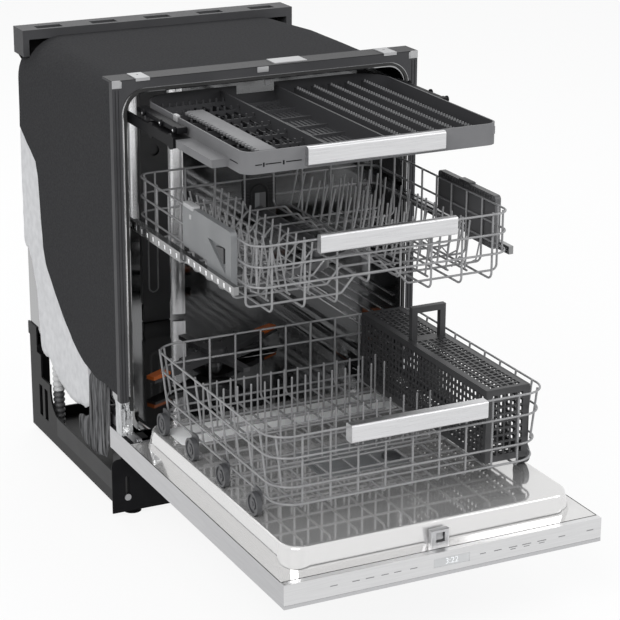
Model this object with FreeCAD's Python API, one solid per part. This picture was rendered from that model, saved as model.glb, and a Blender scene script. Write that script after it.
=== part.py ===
import FreeCAD
import Part
import math
import os

from FreeCAD import Vector

# A built-in dishwasher with its door open level and its three racks drawn out.
# Millimetres. X to the right, Y to the back, Z up. Places below are counted from the floor, mid width
# and the face of the front frame. On export all pieces move back together, so that the origin lies on
# the floor in the middle of the whole footprint.

# Front frame and tub
frame_width = 598.0
frame_height = 843.0
frame_strip = 17.0
frame_face = 14.0
frame_top_depth = 46.0
frame_plate = 4.0
frame_foot_z = 252.0
frame_groove = 1.6
gusset_sheet = 1.2
tub_width = 544.0
tub_floor_z = 192.0
tub_ceiling_z = 818.0
tub_depth = 558.0
tub_wall = 1.2
tub_corner = 35.0
tub_rear_corner = 140.0
tub_flare_y = 350.0
rim_drop = 6.0
ledge_width = 26.0
ledge_front_y = 45.0
gasket_inset = 2.5
gasket_width = 5.0
gasket_depth = 3.0

# Soft lining outside the tub
batting_thickness = 7.4
batting_rear = 11.0
batting_front_y = 218.0
batting_low_z = 145.0
batting_high_z = 640.0
blanket_thickness = 4.0
blanket_low_z = 254.0
blanket_rear_y = 521.0
soft_gap = 0.4
fibre_pad_depth = 98.0
fibre_pad_height = 172.0
fibre_pad_width = 11.5
fibre_tail_depth = 66.0

# Base, toe kick and feet
base_width = 552.0
base_front_y = 62.5
base_rear_y = 560.0
base_bottom_z = 10.0
base_plate = 3.0
base_rail = 4.0
base_rail_height = 26.0
rail_top = 62.0
column_depth = 62.0
column_height = 168.0
panel_depth = 50.0
panel_height = 120.0
sweep_depth = 46.0
slot_half = 9.0
post_width = 26.0
post_depth = 40.0
post_front_y = 92.0
rear_post_top_z = 230.0
toe_kick_width = 592.0
toe_kick_top_z = 116.0
toe_kick_thickness = 2.5
toe_kick_corner = 12.0
toe_slot_x = 266.0
toe_slot_low_z = 31.0
toe_slot_high_z = 81.0
toe_slot_width = 8.0
foot_radius = 17.0
foot_height = 6.0
foot_stud_radius = 5.0
foot_x = 248.0
foot_front_y = 84.0
foot_rear_y = 530.0
stud_gap = 0.2

# Rear crossbar and top brackets
crossbar_front_y = 500.0
crossbar_depth = 55.0
crossbar_half = 286.0
crossbar_top_z = 838.0
crossbar_low_z = 787.0
bracket_x = 242.0
bracket_width = 26.0
bracket_length = 40.0
bracket_sheet = 1.5
bracket_hole = 5.0
strike_width = 22.0
strike_drop = 11.5

# Water system under the tub
hub_y = 262.0
hub_radius = 14.0
hub_top_z = 224.0
running_gap = 0.06
sump_left_x = -60.0
sump_right_x = 165.0
sump_front_y = 200.0
sump_rear_y = 430.0
sump_bottom_z = 112.0
sump_wall = 3.0
filter_x = 105.0
filter_y = 358.0
filter_radius = 42.0
filter_seat_gap = 0.4
pump_radius = 42.0
pump_length = 120.0
pump_z = 74.0
drain_radius = 26.0
drain_length = 60.0
spigot_radius = 10.0
spigot_length = 36.0
spigot_collar = 3.0
inlet_thread_radius = 13.2
inlet_thread_length = 16.0
inlet_height = 40.0
cable_bore_radius = 11.0
hose_radius = 12.0
hose_bore = 9.0
hose_rib = 2.0
hose_ribs = 16
hose_y = 452.0
manifold_width = 60.0
manifold_depth = 8.0
manifold_top_z = 760.0
wall_gap = 0.3

# Lower spray arm
arm_reach = 190.0
arm_angle = 27.0
arm_thickness = 11.0
arm_root = 26.0
arm_tip = 15.0
tip_length = 46.0

# Door
door_width = 586.0
door_front_y = -668.0
door_rear_y = 72.0
door_flange_z = 181.5
door_thickness = 41.5
door_sheet = 0.7
pan_height = 35.5
pan_width = 540.0
pan_draft = 6.0
pan_front_y = -630.0
pan_rear_y = -28.0
pan_corner = 38.0
pan_edge = 6.0
liner_sheet = 0.6
liner_gap = 0.4
strip_sheet = 1.0
strip_lip = 6.0
strip_return = 13.0
display_width = 66.0
display_height = 15.0
display_x = 7.0
display_z = 164.0
display_gap = 0.2
latch_width = 34.0
latch_height = 26.0
latch_depth = 12.0
pawl_width = 12.0
pivot_y = -9.5
pivot_z = 176.0
pin_radius = 5.0
hinge_plate = 3.0
hinge_x = 266.0
hinge_eye = 11.0
hinge_arm_length = 240.0
hinge_arm_height = 14.0

# Detergent dispenser in the pan
dispenser_width = 168.0
dispenser_length = 118.0
dispenser_depth = 30.0
dispenser_y = -330.0
dispenser_lip = 1.0
lid_width = 66.0
lid_length = 84.0
lid_thickness = 3.0
lid_gap = 0.2
cap_radius = 17.0
cap_height = 7.0

# Wire racks
wire = 1.9
fine_wire = 1.7
weld = 3.4
lower_half_top = 258.0
lower_half_bottom = 243.0
lower_front_y = -548.0
lower_rear_y = -62.0
lower_top_z = 374.0
lower_bottom_z = 250.0
lower_corner = 42.0
lower_bend = 8.0
wall_start = 7.5
hump_start = 5.0
panel_reach = 25.0
tine_seat = 0.05
lower_cross = 9
lower_long = 9
upper_half = 238.0
upper_front_y = -442.0
upper_rear_y = 50.0
upper_top_z = 659.0
upper_bottom_z = 548.0
upper_step = 27.0
upper_step_half = 62.0
upper_corner = 28.0
upper_cross = 9
upper_long = 8
tine_height = 86.0
tine_pitch = 26.0
handle_half = 126.0
handle_height = 31.0
handle_edge = 4.0
lower_handle_depth = 21.0
upper_handle_depth = 13.0
third_handle_depth = 12.0
wheel_radius = 20.0
wheel_width = 9.0
axle_radius = 4.0
roll_gap = 0.3
carrier_plate = 3.0
carrier_half = 13.0

# Cutlery basket on the right of the lower rack
basket_left_x = 148.0
basket_right_x = 232.0
basket_front_y = -528.0
basket_rear_y = -80.0
basket_top_z = 383.0
basket_sheet = 2.4
basket_hole = 9.0
basket_web = 3.4
basket_handle_y = -250.0
basket_handle_top_z = 444.0
basket_handle_bar = 11.0
lid_clearance = 0.3

# Upper rack fittings and telescopic rails
adjuster_front_y = -385.0
adjuster_length = 196.0
adjuster_low_z = 576.0
adjuster_high_z = 671.0
adjuster_thickness = 11.0
lever_thickness = 4.0
lever_gap = 0.3
rail_z = 582.0
rail_height = 20.0
rail_thickness = 5.6
rail_gap = 0.3
rail_length = 470.0
rail_rear_y = 505.0
upper_travel = 490.0
upper_arm_y = -190.0
upper_arm_reach = 182.0
feed_radius = 14.0
feed_stub = 8.0
upper_boss_height = 20.0

# Third rack
third_half = 234.0
third_front_y = -399.0
third_rear_y = 40.0
third_top_z = 803.0
third_floor_z = 766.0
third_wall = 3.0
third_corner = 20.0
third_rear_corner = 62.0
third_slot = 5.0
third_rib = 4.0
third_travel = 448.0
third_rail_z = 774.0
third_rail_height = 18.0
third_rail_length = 360.0
third_rail_rear_y = 395.0
runner_front = 60.0
runner_length = 285.0
rail_groove = 14.0
roller_radius = 13.5

# Places worked out from the sizes above
tub_half = tub_width / 2
tub_outer = tub_half + tub_wall
tub_top = tub_ceiling_z + tub_wall
tub_under = tub_floor_z - tub_wall
tub_back = tub_depth + tub_wall
rim_half = frame_width / 2 - frame_strip
rim_top = frame_height - frame_strip
rim_corner = tub_corner + rim_top - tub_ceiling_z
track_z = door_flange_z + pan_height
door_half = door_width / 2
door_outer_z = door_flange_z - door_thickness
pan_half = pan_width / 2
base_half = base_width / 2
batting_inner = tub_outer + soft_gap
batting_outer = batting_inner + batting_thickness
blanket_inner = batting_outer + soft_gap
blanket_outer = blanket_inner + blanket_thickness
wheel_z = track_z + roll_gap + wheel_radius


def box(x0, x1, y0, y1, z0, z1):
    return Part.makeBox(x1 - x0, y1 - y0, z1 - z0, Vector(x0, y0, z0))


def rounded_box(x0, x1, y0, y1, z0, z1, radius, along):
    """A box with the four edges that run along one axis rounded."""
    block = box(x0, x1, y0, y1, z0, z1)
    direction = {"x": Vector(1, 0, 0), "y": Vector(0, 1, 0), "z": Vector(0, 0, 1)}[along]
    edges = [e for e in block.Edges if abs(e.tangentAt(e.FirstParameter).dot(direction)) > 0.99]
    return block.makeFillet(radius, edges)


def cylinder(radius, start, end):
    axis = Vector(*end) - Vector(*start)
    return Part.makeCylinder(radius, axis.Length, Vector(*start), axis)


def ring(outer, inner, start, end):
    return cylinder(outer, start, end).cut(cylinder(inner, start, end))


def mirrored(shape):
    return shape.mirror(Vector(0, 0, 0), Vector(1, 0, 0))


def pair(shape):
    return [shape, mirrored(shape)]


def joined(shapes):
    whole = shapes[0].multiFuse(shapes[1:])
    return whole.Solids[0] if len(whole.Solids) == 1 else whole


def group(shapes):
    solids = []
    for shape in shapes:
        solids.extend(shape.Solids)
    return Part.makeCompound(solids)


def prism(points, axis, low, high):
    """An outline in the plane across the axis, carried from low to high along it."""
    place = {"x": lambda u, v: Vector(low, u, v), "y": lambda u, v: Vector(u, low, v),
             "z": lambda u, v: Vector(u, v, low)}[axis]
    travel = {"x": Vector(high - low, 0, 0), "y": Vector(0, high - low, 0),
              "z": Vector(0, 0, high - low)}[axis]
    corners = [place(u, v) for u, v in points]
    face = Part.Face(Part.makePolygon(corners + corners[:1]))
    return face.extrude(travel)


def bent_path(points, radius, closed=False):
    """Straight runs joined by tangent arcs of one radius."""
    nodes = [Vector(*p) for p in points]
    count = len(nodes)
    bends = {}
    for i in range(count) if closed else range(1, count - 1):
        before, here, after = nodes[i - 1], nodes[i], nodes[(i + 1) % count]
        back = (before - here).normalize()
        ahead = (after - here).normalize()
        turn = math.pi - back.getAngle(ahead)
        if turn < 1e-6:
            continue
        reach = radius * math.tan(turn / 2)
        inward = (back + ahead).normalize()
        top = here + inward * (radius / math.cos(turn / 2) - radius)
        bends[i] = (here + back * reach, top, here + ahead * reach)
    edges = []
    for i in range(count if closed else count - 1):
        j = (i + 1) % count
        start = bends[i][2] if i in bends else nodes[i]
        end = bends[j][0] if j in bends else nodes[j]
        if (end - start).Length > 1e-6:
            edges.append(Part.LineSegment(start, end).toShape())
        if j in bends:
            edges.append(Part.Arc(*bends[j]).toShape())
    return Part.Wire(edges)


def rod(points, radius, bend, closed=False):
    """A round wire along a bent path."""
    path = bent_path(points, bend, closed)
    first = path.Edges[0]
    start = first.valueAt(first.FirstParameter)
    heading = first.tangentAt(first.FirstParameter)
    return path.makePipeShell([Part.Wire(Part.makeCircle(radius, start, heading))], True, False)


def hoop(half, front, rear, z, radius, corner):
    corners = [(0, front, z), (half, front, z), (half, rear, z), (-half, rear, z), (-half, front, z)]
    return rod(corners, radius, corner, True)


def panels(rack, half, cut_x, front, rear, corner, wall_low, floors):
    """A wire rack as panels that meet face to face: flat walls, rounded corners and the floor cells."""
    high = rack.BoundBox.ZMax + 1
    xs = (-half - panel_reach, -cut_x, cut_x, half + panel_reach)
    ys = (front - panel_reach, front + corner, rear - corner, rear + panel_reach)
    walls = [box(xs[i], xs[i + 1], ys[j], ys[j + 1], wall_low, high)
             for i in range(3) for j in range(3) if (i, j) != (1, 1)]
    upright = rack
    for floor in floors:
        upright = upright.cut(floor)
    return [upright.common(wall) for wall in walls] + [rack.common(floor) for floor in floors]


def corner_posts(low_half, high_half, front, rear, corner, low, high):
    """Upright wires inside the four corners of a rack, welded to its hoops."""
    inset = corner - (corner - weld) * math.cos(math.pi / 4)
    return [cylinder(wire, (side * (low_half - inset), y, low), (side * (high_half - inset), y, high))
            for side in (-1, 1) for y in (front + inset, rear - inset)]


def spread(first, last, count):
    step = (last - first) / (count - 1)
    return [first + step * i for i in range(count)]


def grid_plate(length, height, sheet, margin, hole, web):
    """A flat plate with rows of square holes: length along X, height along Y, sheet along Z."""
    columns = int((length - 2 * margin + web) / (hole + web))
    rows = int((height - 2 * margin + web) / (hole + web))
    left = (length - columns * (hole + web) + web) / 2
    low = (height - rows * (hole + web) + web) / 2
    wires = [Part.makePolygon([Vector(0, 0, 0), Vector(length, 0, 0), Vector(length, height, 0),
                               Vector(0, height, 0), Vector(0, 0, 0)])]
    for i in range(columns):
        for j in range(rows):
            x = left + i * (hole + web)
            y = low + j * (hole + web)
            wires.append(Part.makePolygon([Vector(x, y, 0), Vector(x, y + hole, 0),
                                           Vector(x + hole, y + hole, 0), Vector(x + hole, y, 0),
                                           Vector(x, y, 0)]))
    face = Part.Face(wires)
    return face.extrude(Vector(0, 0, sheet))


def across_x(plate, x, y, z):
    """Stands a grid plate on edge, facing X, with its length along Y."""
    plate.rotate(Vector(0, 0, 0), Vector(1, 0, 0), 90)
    plate.rotate(Vector(0, 0, 0), Vector(0, 0, 1), 90)
    plate.translate(Vector(x, y, z))
    return plate


def across_y(plate, x, y, z):
    """Stands a grid plate on edge, facing Y, with its length along X."""
    plate.rotate(Vector(0, 0, 0), Vector(1, 0, 0), 90)
    plate.translate(Vector(x, y + plate.BoundBox.YLength, z))
    return plate


def laid(plate, x, y, z):
    plate.translate(Vector(x, y, z))
    return plate


# Cabinet


def corner_at(y):
    """Radius of the tub's top corners, which grows behind the flare line."""
    share = max(0.0, (y - tub_flare_y) / (tub_depth - tub_flare_y))
    return tub_corner + (tub_rear_corner - tub_corner) * share


def tub_section(y, half, bottom, top, low_radius, high_radius):
    """A rounded rectangle across Y with its own radius for the two top corners."""
    tip = math.sqrt(0.5)
    corners = [(1, bottom, low_radius), (1, top, high_radius),
               (-1, top, high_radius), (-1, bottom, low_radius)]
    arcs = []
    for side, level, radius in corners:
        up = 1 if level == top else -1
        x, z = side * (half - radius), level - up * radius
        flat = Vector(side * half, y, z)
        middle = Vector(x + side * radius * tip, y, z + up * radius * tip)
        crown = Vector(x, y, level)
        arcs.append((flat, middle, crown) if side * up > 0 else (crown, middle, flat))
    edges = []
    for i, arc in enumerate(arcs):
        edges.append(Part.Arc(*arc).toShape())
        edges.append(Part.LineSegment(arc[2], arcs[(i + 1) % 4][0]).toShape())
    return Part.Wire(edges)


def tub_form(front, rear, half, bottom, top, grow):
    """The tub's form between two planes: straight at first, with opening corners behind the flare line."""
    def section(y):
        return tub_section(y, half, bottom, top, tub_corner + grow, corner_at(y) + grow)

    straight = Part.Face(section(front)).extrude(Vector(0, tub_flare_y - front, 0))
    flare = Part.makeLoft([section(tub_flare_y), section(rear)], True, True)
    return straight.fuse(flare)


def tub_outside():
    return tub_form(0, tub_back, tub_outer, tub_under, tub_top, tub_wall)


def tub_inside():
    return tub_form(-1, tub_depth, tub_half, tub_floor_z, tub_ceiling_z, 0)


def tub_shell():
    rim = rounded_box(-rim_half, rim_half, 0, tub_wall, tub_floor_z - rim_drop, rim_top, rim_corner, "y")
    shell = tub_outside().fuse(rim).cut(tub_inside())
    inner_x = tub_half - ledge_width
    tread = box(inner_x, tub_half + tub_wall / 2, ledge_front_y, tub_depth + tub_wall / 2,
                track_z - tub_wall, track_z)
    riser = box(inner_x, inner_x + tub_wall, ledge_front_y, tub_depth + tub_wall / 2,
                tub_floor_z - tub_wall / 2, track_z)
    nose = box(inner_x, tub_half, ledge_front_y, ledge_front_y + tub_wall,
               tub_floor_z - tub_wall / 2, track_z)
    ledge = joined([tread, riser, nose]).common(tub_outside())
    shell = joined([shell] + pair(ledge))
    hub_hole = cylinder(hub_radius + sump_wall, (0, hub_y, tub_under - 1), (0, hub_y, tub_floor_z + 1))
    filter_hole = cylinder(filter_radius + filter_seat_gap, (filter_x, filter_y, tub_under - 1),
                           (filter_x, filter_y, tub_floor_z + 1))
    return shell.cut(hub_hole).cut(filter_hole)


def front_frame():
    face = box(-frame_width / 2, frame_width / 2, 0, frame_face, frame_foot_z, frame_height)
    top = box(-frame_width / 2, frame_width / 2, 0, frame_top_depth,
              frame_height - frame_plate, frame_height)
    opening = rounded_box(-rim_half, rim_half, -1, frame_face + 1, frame_foot_z - 4 * rim_corner, rim_top,
                          rim_corner, "y")
    frame = face.fuse(top).cut(opening)
    for third in (1, 2):
        x = rim_half + frame_strip * third / 3
        groove = box(x - frame_groove / 2, x + frame_groove / 2, -1, frame_groove,
                     frame_foot_z - 1, rim_top)
        for cut in pair(groove):
            frame = frame.cut(cut)
    return joined([frame] + pair(corner_gusset()))


def corner_gusset():
    """The bent foot under one strip of the frame."""
    x0, x1 = rim_half + 1, frame_width / 2 - 2
    low = door_flange_z + 6
    face = prism([(x0, low), (x1 - 5, low), (x1, frame_foot_z), (x0, frame_foot_z)], "y", 1, 1 + gusset_sheet)
    side = box(x0, x0 + gusset_sheet, 1, 26, low + 8, frame_foot_z)
    top = box(x0, x1, 1, frame_face - 1, frame_foot_z - gusset_sheet, frame_foot_z)
    return joined([face, side, top])


def tub_gasket():
    near = tub_half + gasket_inset
    far = near + gasket_width
    outer = rounded_box(-far, far, -gasket_depth, 0, tub_floor_z, tub_ceiling_z + gasket_inset + gasket_width,
                        tub_corner + gasket_inset + gasket_width, "y")
    inner = rounded_box(-near, near, -gasket_depth - 1, 1, tub_floor_z - 2 * tub_corner,
                        tub_ceiling_z + gasket_inset, tub_corner + gasket_inset, "y")
    foot = box(-far - 1, far + 1, -gasket_depth - 1, 1, tub_floor_z - 1,
               tub_floor_z + tub_corner + gasket_inset + gasket_width)
    return outer.cut(inner).cut(foot)


def insulation_blanket():
    front = frame_face + soft_gap
    top = tub_top + soft_gap + blanket_thickness
    grow = blanket_inner - tub_half
    outer = tub_form(front, blanket_rear_y, blanket_outer, 0, top, grow + blanket_thickness)
    inner = tub_form(front - 1, blanket_rear_y + 1, blanket_inner, -1, top - blanket_thickness, grow)
    low = blanket_low_z
    rear = blanket_rear_y
    wave = [(front + 74, low), (front + 202, low + 5), (front + 264, low + 27), (rear - 150, low + 99),
            (rear - 107, low + 141), (rear - 87, low + 211), (rear - 82, low + 290), (rear - 67, low + 338),
            (rear, low + 372)]
    edge = Part.BSplineCurve()
    edge.interpolate([Vector(-1000, y, z) for y, z in wave])
    end_y = crossbar_front_y - soft_gap
    end_z = crossbar_low_z - 4 * soft_gap
    runs = [(rear, low + 372), (rear, end_z), (end_y, end_z), (end_y, top + 1), (front, top + 1),
            (front, low), (front + 74, low)]
    lines = [Part.LineSegment(Vector(-1000, *a), Vector(-1000, *b)).toShape()
             for a, b in zip(runs, runs[1:])]
    outline = Part.Wire([edge.toShape()] + lines)
    keep = Part.Face(outline).extrude(Vector(2000, 0, 0))
    return outer.cut(inner).common(keep)


def side_batting():
    rear = tub_back + soft_gap + batting_rear
    outer = box(-batting_outer, batting_outer, batting_front_y, rear, batting_low_z, batting_high_z)
    corners = [e for e in outer.Edges
               if abs(e.tangentAt(e.FirstParameter).z) > 0.99 and e.CenterOfMass.y > rear - 1]
    outer = outer.makeFillet(batting_thickness, corners)
    inner = box(-batting_inner, batting_inner, 0, tub_back + soft_gap, 0, frame_height)
    low, high = batting_low_z, batting_high_z
    front = batting_front_y
    outline = [(front, low + 40), (front + 8, low + 20), (front + 32, low + 7), (front + 80, low),
               (front + 138, low + 3), (front + 185, low + 21), (rear - 128, low + 41), (rear - 90, low + 44),
               (rear - 80, low + 156), (rear - 52, low + 215), (rear - 36, low + 243), (rear, low + 243),
               (rear, high), (front, high)]
    return outer.cut(inner).common(prism(outline, "x", -1000, 1000))


def fibre_pads():
    x1 = batting_outer
    low = base_bottom_z + base_rail_height + 40
    rear = batting_front_y - soft_gap * 10
    pad = rounded_box(x1 - fibre_pad_width, x1, rear - fibre_pad_depth, rear, low, low + fibre_pad_height,
                      fibre_pad_width / 3, "y")
    tail = rounded_box(x1 - fibre_pad_width, x1, rear - 20, rear + fibre_tail_depth, low,
                       batting_low_z - soft_gap * 10, fibre_pad_width / 3, "y")
    pad = pad.fuse(tail).removeSplitter()
    keep_off = rounded_box(-batting_inner, batting_inner, 0, tub_back, tub_under - soft_gap,
                           tub_top, tub_corner + tub_wall, "y")
    return group(pair(pad.cut(keep_off)))


def base_side_plate():
    """The tall rear end of a base rail, swept down to the low rail in front of it."""
    rear, low = base_rear_y, base_bottom_z
    column = rear - column_depth
    panel = column - panel_depth
    foot = panel - sweep_depth
    corners = [(foot, low + rail_top), (post_front_y, low + rail_top), (post_front_y, low), (rear, low),
               (rear, low + column_height), (column, low + column_height), (column, low + panel_height),
               (panel, low + panel_height)]
    x = base_half - base_rail
    points = [Vector(x, y, z) for y, z in corners]
    lines = [Part.LineSegment(a, b).toShape() for a, b in zip(points, points[1:])]
    rise = panel_height - rail_top
    hollow = Vector(x, panel - 0.2 * sweep_depth, low + rail_top + 0.32 * rise)
    sweep = Part.Arc(points[-1], hollow, points[0]).toShape()
    plate = Part.Face(Part.Wire(lines + [sweep])).extrude(Vector(base_rail, 0, 0))
    for share in (0.22, 0.5, 0.78):
        y = panel + share * (rear - panel)
        plate = plate.cut(box(x - 1, x + base_rail / 2, y - slot_half, y + slot_half, low + base_rail_height,
                              low + panel_height - slot_half))
        plate = plate.cut(box(x + base_rail / 2, x + base_rail + 1, y - slot_half, y + slot_half,
                              low + base_rail_height + 10, low + panel_height - 2 * slot_half))
    return plate


def base_frame():
    floor = box(-base_half, base_half, base_front_y, base_rear_y, base_bottom_z, base_bottom_z + base_plate)
    rails = box(-base_half, base_half, base_front_y, base_rear_y, base_bottom_z,
                base_bottom_z + base_rail_height)
    rails = rails.cut(box(-base_half + base_rail, base_half - base_rail, base_front_y + base_rail,
                          base_rear_y - base_rail, 0, frame_height))
    post_x0 = hinge_x - post_width
    front_post = box(post_x0, hinge_x, post_front_y, post_front_y + post_depth, base_bottom_z,
                     tub_floor_z + tub_corner)
    rear_post = box(base_half - post_width, base_half, base_rear_y - post_depth, base_rear_y,
                    base_bottom_z, rear_post_top_z)
    hook = box(base_half - base_rail, base_half, base_rear_y, base_rear_y + 2 * base_rail,
               rear_post_top_z - post_width, rear_post_top_z)
    hook = hook.fuse(box(base_half - base_rail, base_half, base_rear_y - base_rail, base_rear_y + 1,
                         rear_post_top_z - post_width, rear_post_top_z - post_width / 2))
    leg = box(post_x0, hinge_x, base_front_y, post_front_y + 1, base_bottom_z,
              toe_kick_top_z - toe_kick_corner)
    plate = base_side_plate()
    beam_z = tub_under - post_width / 2
    sill = box(-post_x0 - 1, post_x0 + 1, post_front_y + post_depth / 2, post_front_y + post_depth / 2
               + base_rail, beam_z, tub_under)
    side = joined([front_post, leg, rear_post, hook, plate])
    whole = joined([floor, rails, sill] + pair(side))
    whole = whole.cut(tub_outside())
    whole = whole.cut(box(-tub_outer, tub_outer, post_front_y, tub_back, tub_floor_z, frame_height))
    for x in (-foot_x, foot_x):
        for y in (foot_front_y, foot_rear_y):
            whole = whole.cut(cylinder(foot_stud_radius + stud_gap, (x, y, 0),
                                       (x, y, base_bottom_z + base_rail_height)))
    return whole


def rear_crossbar():
    rear = crossbar_front_y + crossbar_depth
    beam = box(-crossbar_half, crossbar_half, crossbar_front_y, rear, tub_top + soft_gap, crossbar_top_z)
    end = box(tub_outer + soft_gap, crossbar_half, crossbar_front_y, rear, crossbar_low_z, crossbar_top_z)
    bar = joined([beam] + pair(end))
    depth = (crossbar_top_z - tub_top) / 2
    for x in spread(-crossbar_half + 60, crossbar_half - 60, 5):
        bar = bar.cut(box(x - 26, x + 26, crossbar_front_y + 10, rear - 22,
                          crossbar_top_z - depth, crossbar_top_z + 1))
    return bar


def toe_kick():
    y0 = base_front_y - toe_kick_thickness
    half = toe_kick_width / 2
    panel = rounded_box(-half, half, y0, base_front_y, base_bottom_z - toe_kick_corner * 2, toe_kick_top_z,
                        toe_kick_corner, "y")
    panel = panel.cut(box(-half - 1, half + 1, y0 - 1, base_front_y + 1,
                          base_bottom_z - toe_kick_corner * 3, base_bottom_z))
    slot = rounded_box(toe_slot_x - toe_slot_width / 2, toe_slot_x + toe_slot_width / 2, y0 - 1,
                       base_front_y + 1, toe_slot_low_z, toe_slot_high_z, toe_slot_width / 2 - 0.1, "y")
    for cut in pair(slot):
        panel = panel.cut(cut)
    return panel


def toe_kick_screws():
    y0 = base_front_y - toe_kick_thickness
    z = toe_slot_low_z + toe_slot_width
    head = cylinder(toe_slot_width * 0.8, (toe_slot_x, y0 - 2.4, z), (toe_slot_x, y0, z))
    shank = cylinder(toe_slot_width / 2 - 1.5, (toe_slot_x, y0 - 1, z), (toe_slot_x, base_front_y, z))
    return group(pair(head.fuse(shank)))


def levelling_feet():
    feet = []
    for x in (-foot_x, foot_x):
        for y in (foot_front_y, foot_rear_y):
            pad = Part.makeCone(foot_radius, foot_radius * 0.8, foot_height, Vector(x, y, 0))
            collar = cylinder(foot_radius * 0.5, (x, y, foot_height - 1), (x, y, base_bottom_z))
            stud = cylinder(foot_stud_radius, (x, y, foot_height - 1),
                            (x, y, base_bottom_z + base_rail_height - 2))
            feet.append(joined([pad, collar, stud]))
    return group(feet)


def mounting_brackets():
    z = frame_height
    half = bracket_width / 2
    plate = box(bracket_x - half, bracket_x + half, 2, 2 + bracket_length, z, z + bracket_sheet)
    lip = box(bracket_x - half, bracket_x + half, -bracket_sheet, 2.5, z, z + bracket_sheet)
    tongue = box(bracket_x - half, bracket_x + half, -bracket_sheet, 0, z - frame_plate, z + bracket_sheet)
    tab = joined([plate, lip, tongue])
    tab = tab.cut(cylinder(bracket_hole / 2, (bracket_x, 2 + bracket_length * 0.6, z - 1),
                           (bracket_x, 2 + bracket_length * 0.6, z + bracket_sheet + 1)))
    corner = frame_width / 2
    clip = box(corner - 15, corner, -bracket_sheet, 0, z - 13, z)
    middle = box(14, 78, 8, frame_top_depth - 2, z, z + bracket_sheet)
    return group(pair(tab) + pair(clip) + [middle])


def latch_strike():
    y1 = tub_wall + 24
    plate = box(-strike_width / 2, strike_width / 2, tub_wall + 6, y1, tub_ceiling_z - 2, tub_ceiling_z)
    tongue = box(-strike_width / 4, strike_width / 4, tub_wall + 6, tub_wall + 8,
                 tub_ceiling_z - strike_drop, tub_ceiling_z)
    return plate.fuse(tongue)


def sump():
    bowl = rounded_box(sump_left_x, sump_right_x, sump_front_y, sump_rear_y, sump_bottom_z, tub_under,
                       24, "z")
    well = rounded_box(sump_left_x + sump_wall, sump_right_x - sump_wall, sump_front_y + sump_wall,
                       sump_rear_y - sump_wall, sump_bottom_z + sump_wall, tub_under + 1, 24 - sump_wall, "z")
    hub = cylinder(hub_radius, (0, hub_y, sump_bottom_z + 1), (0, hub_y, hub_top_z))
    flange = cylinder(hub_radius + sump_wall - 0.4, (0, hub_y, sump_bottom_z + 1),
                      (0, hub_y, tub_floor_z + 8))
    body = bowl.cut(well).fuse(flange).fuse(hub)
    bore = cylinder(hub_radius - sump_wall, (0, hub_y, sump_bottom_z + 2 * sump_wall),
                    (0, hub_y, hub_top_z - sump_wall))
    return body.cut(bore)


def twist_filter():
    top = tub_floor_z + 6
    cup = ring(filter_radius - 6, filter_radius - 8, (filter_x, filter_y, sump_bottom_z + sump_wall + 2),
               (filter_x, filter_y, top))
    cap = cylinder(filter_radius, (filter_x, filter_y, tub_floor_z + wall_gap + liner_sheet),
                   (filter_x, filter_y, top))
    grip = box(filter_x - 4, filter_x + 4, filter_y - filter_radius + 10, filter_y + filter_radius - 10,
               top - 1, top + 7)
    return joined([cup, cap, grip])


def fine_filter():
    plate = rounded_box(filter_x - 78, filter_x + 62, filter_y - 86, filter_y + 70,
                        tub_floor_z, tub_floor_z + liner_sheet, 30, "z")
    plate = plate.cut(cylinder(filter_radius - 3, (filter_x, filter_y, tub_floor_z - 1),
                               (filter_x, filter_y, tub_floor_z + 2)))
    return plate.cut(cylinder(hub_radius + sump_wall + 24, (0, hub_y, tub_floor_z - 1),
                              (0, hub_y, tub_floor_z + 2)))


def wash_pump():
    x1 = sump_left_x - 14
    y = hub_y + 60
    motor = cylinder(pump_radius, (x1 - pump_length, y, pump_z), (x1 - 30, y, pump_z))
    volute = cylinder(pump_radius + 9, (x1 - 30, y, pump_z), (x1, y, pump_z))
    neck = cylinder(pump_radius / 3, (x1 - 1, y, sump_bottom_z + 20 - pump_radius / 3),
                    (sump_left_x, y, sump_bottom_z + 20 - pump_radius / 3))
    saddle = box(x1 - pump_length + 20, x1 - 40, y - 16, y + 16, base_bottom_z + base_plate,
                 pump_z - pump_radius / 2)
    neck = neck.common(box(x1 - 1, sump_left_x, y - 60, y + 60, 0, tub_under))
    return joined([motor, volute, neck, saddle])


def drain_pump():
    x0 = sump_right_x
    y = hub_y + 30
    z = sump_bottom_z + 34
    motor = cylinder(drain_radius, (x0, y, z), (x0 + drain_length, y, z))
    middle = x0 + drain_length / 2
    step = y + drain_radius + spigot_collar
    collar = cylinder(spigot_radius + spigot_collar, (middle, y, z), (middle, step, z))
    spigot = cylinder(spigot_radius, (middle, y, z), (middle, step + spigot_length, z))
    return joined([motor, collar, spigot])


def inlet_valve():
    x, y = -base_half + 74, post_front_y + post_depth + 30
    z0 = base_bottom_z + base_plate
    body = box(x - 24, x + 24, y - 18, y + 26, z0, z0 + inlet_height + 24)
    port_z = z0 + inlet_height
    thread = cylinder(inlet_thread_radius, (x, y - 18 - inlet_thread_length, port_z), (x, y - 17, port_z))
    coil = box(x - 17, x + 17, y - 10, y + 20, z0 + inlet_height + 23, z0 + inlet_height + 58)
    return joined([body, thread, coil]).cut(
        cylinder(inlet_thread_radius - 3.6, (x, y - 19 - inlet_thread_length, port_z), (x, y - 4, port_z)))


def junction_box():
    x, y = base_half - 84, post_front_y + post_depth + 12
    z0 = base_bottom_z + base_plate
    shell = box(x - 40, x + 40, y, y + 62, z0, z0 + 58)
    shell = shell.cut(box(x - 38, x + 38, y + 2, y + 60, z0 + 2, z0 + 56))
    return shell.cut(cylinder(cable_bore_radius, (x, y - 1, z0 + 38), (x, y + 3, z0 + 38)))


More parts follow.
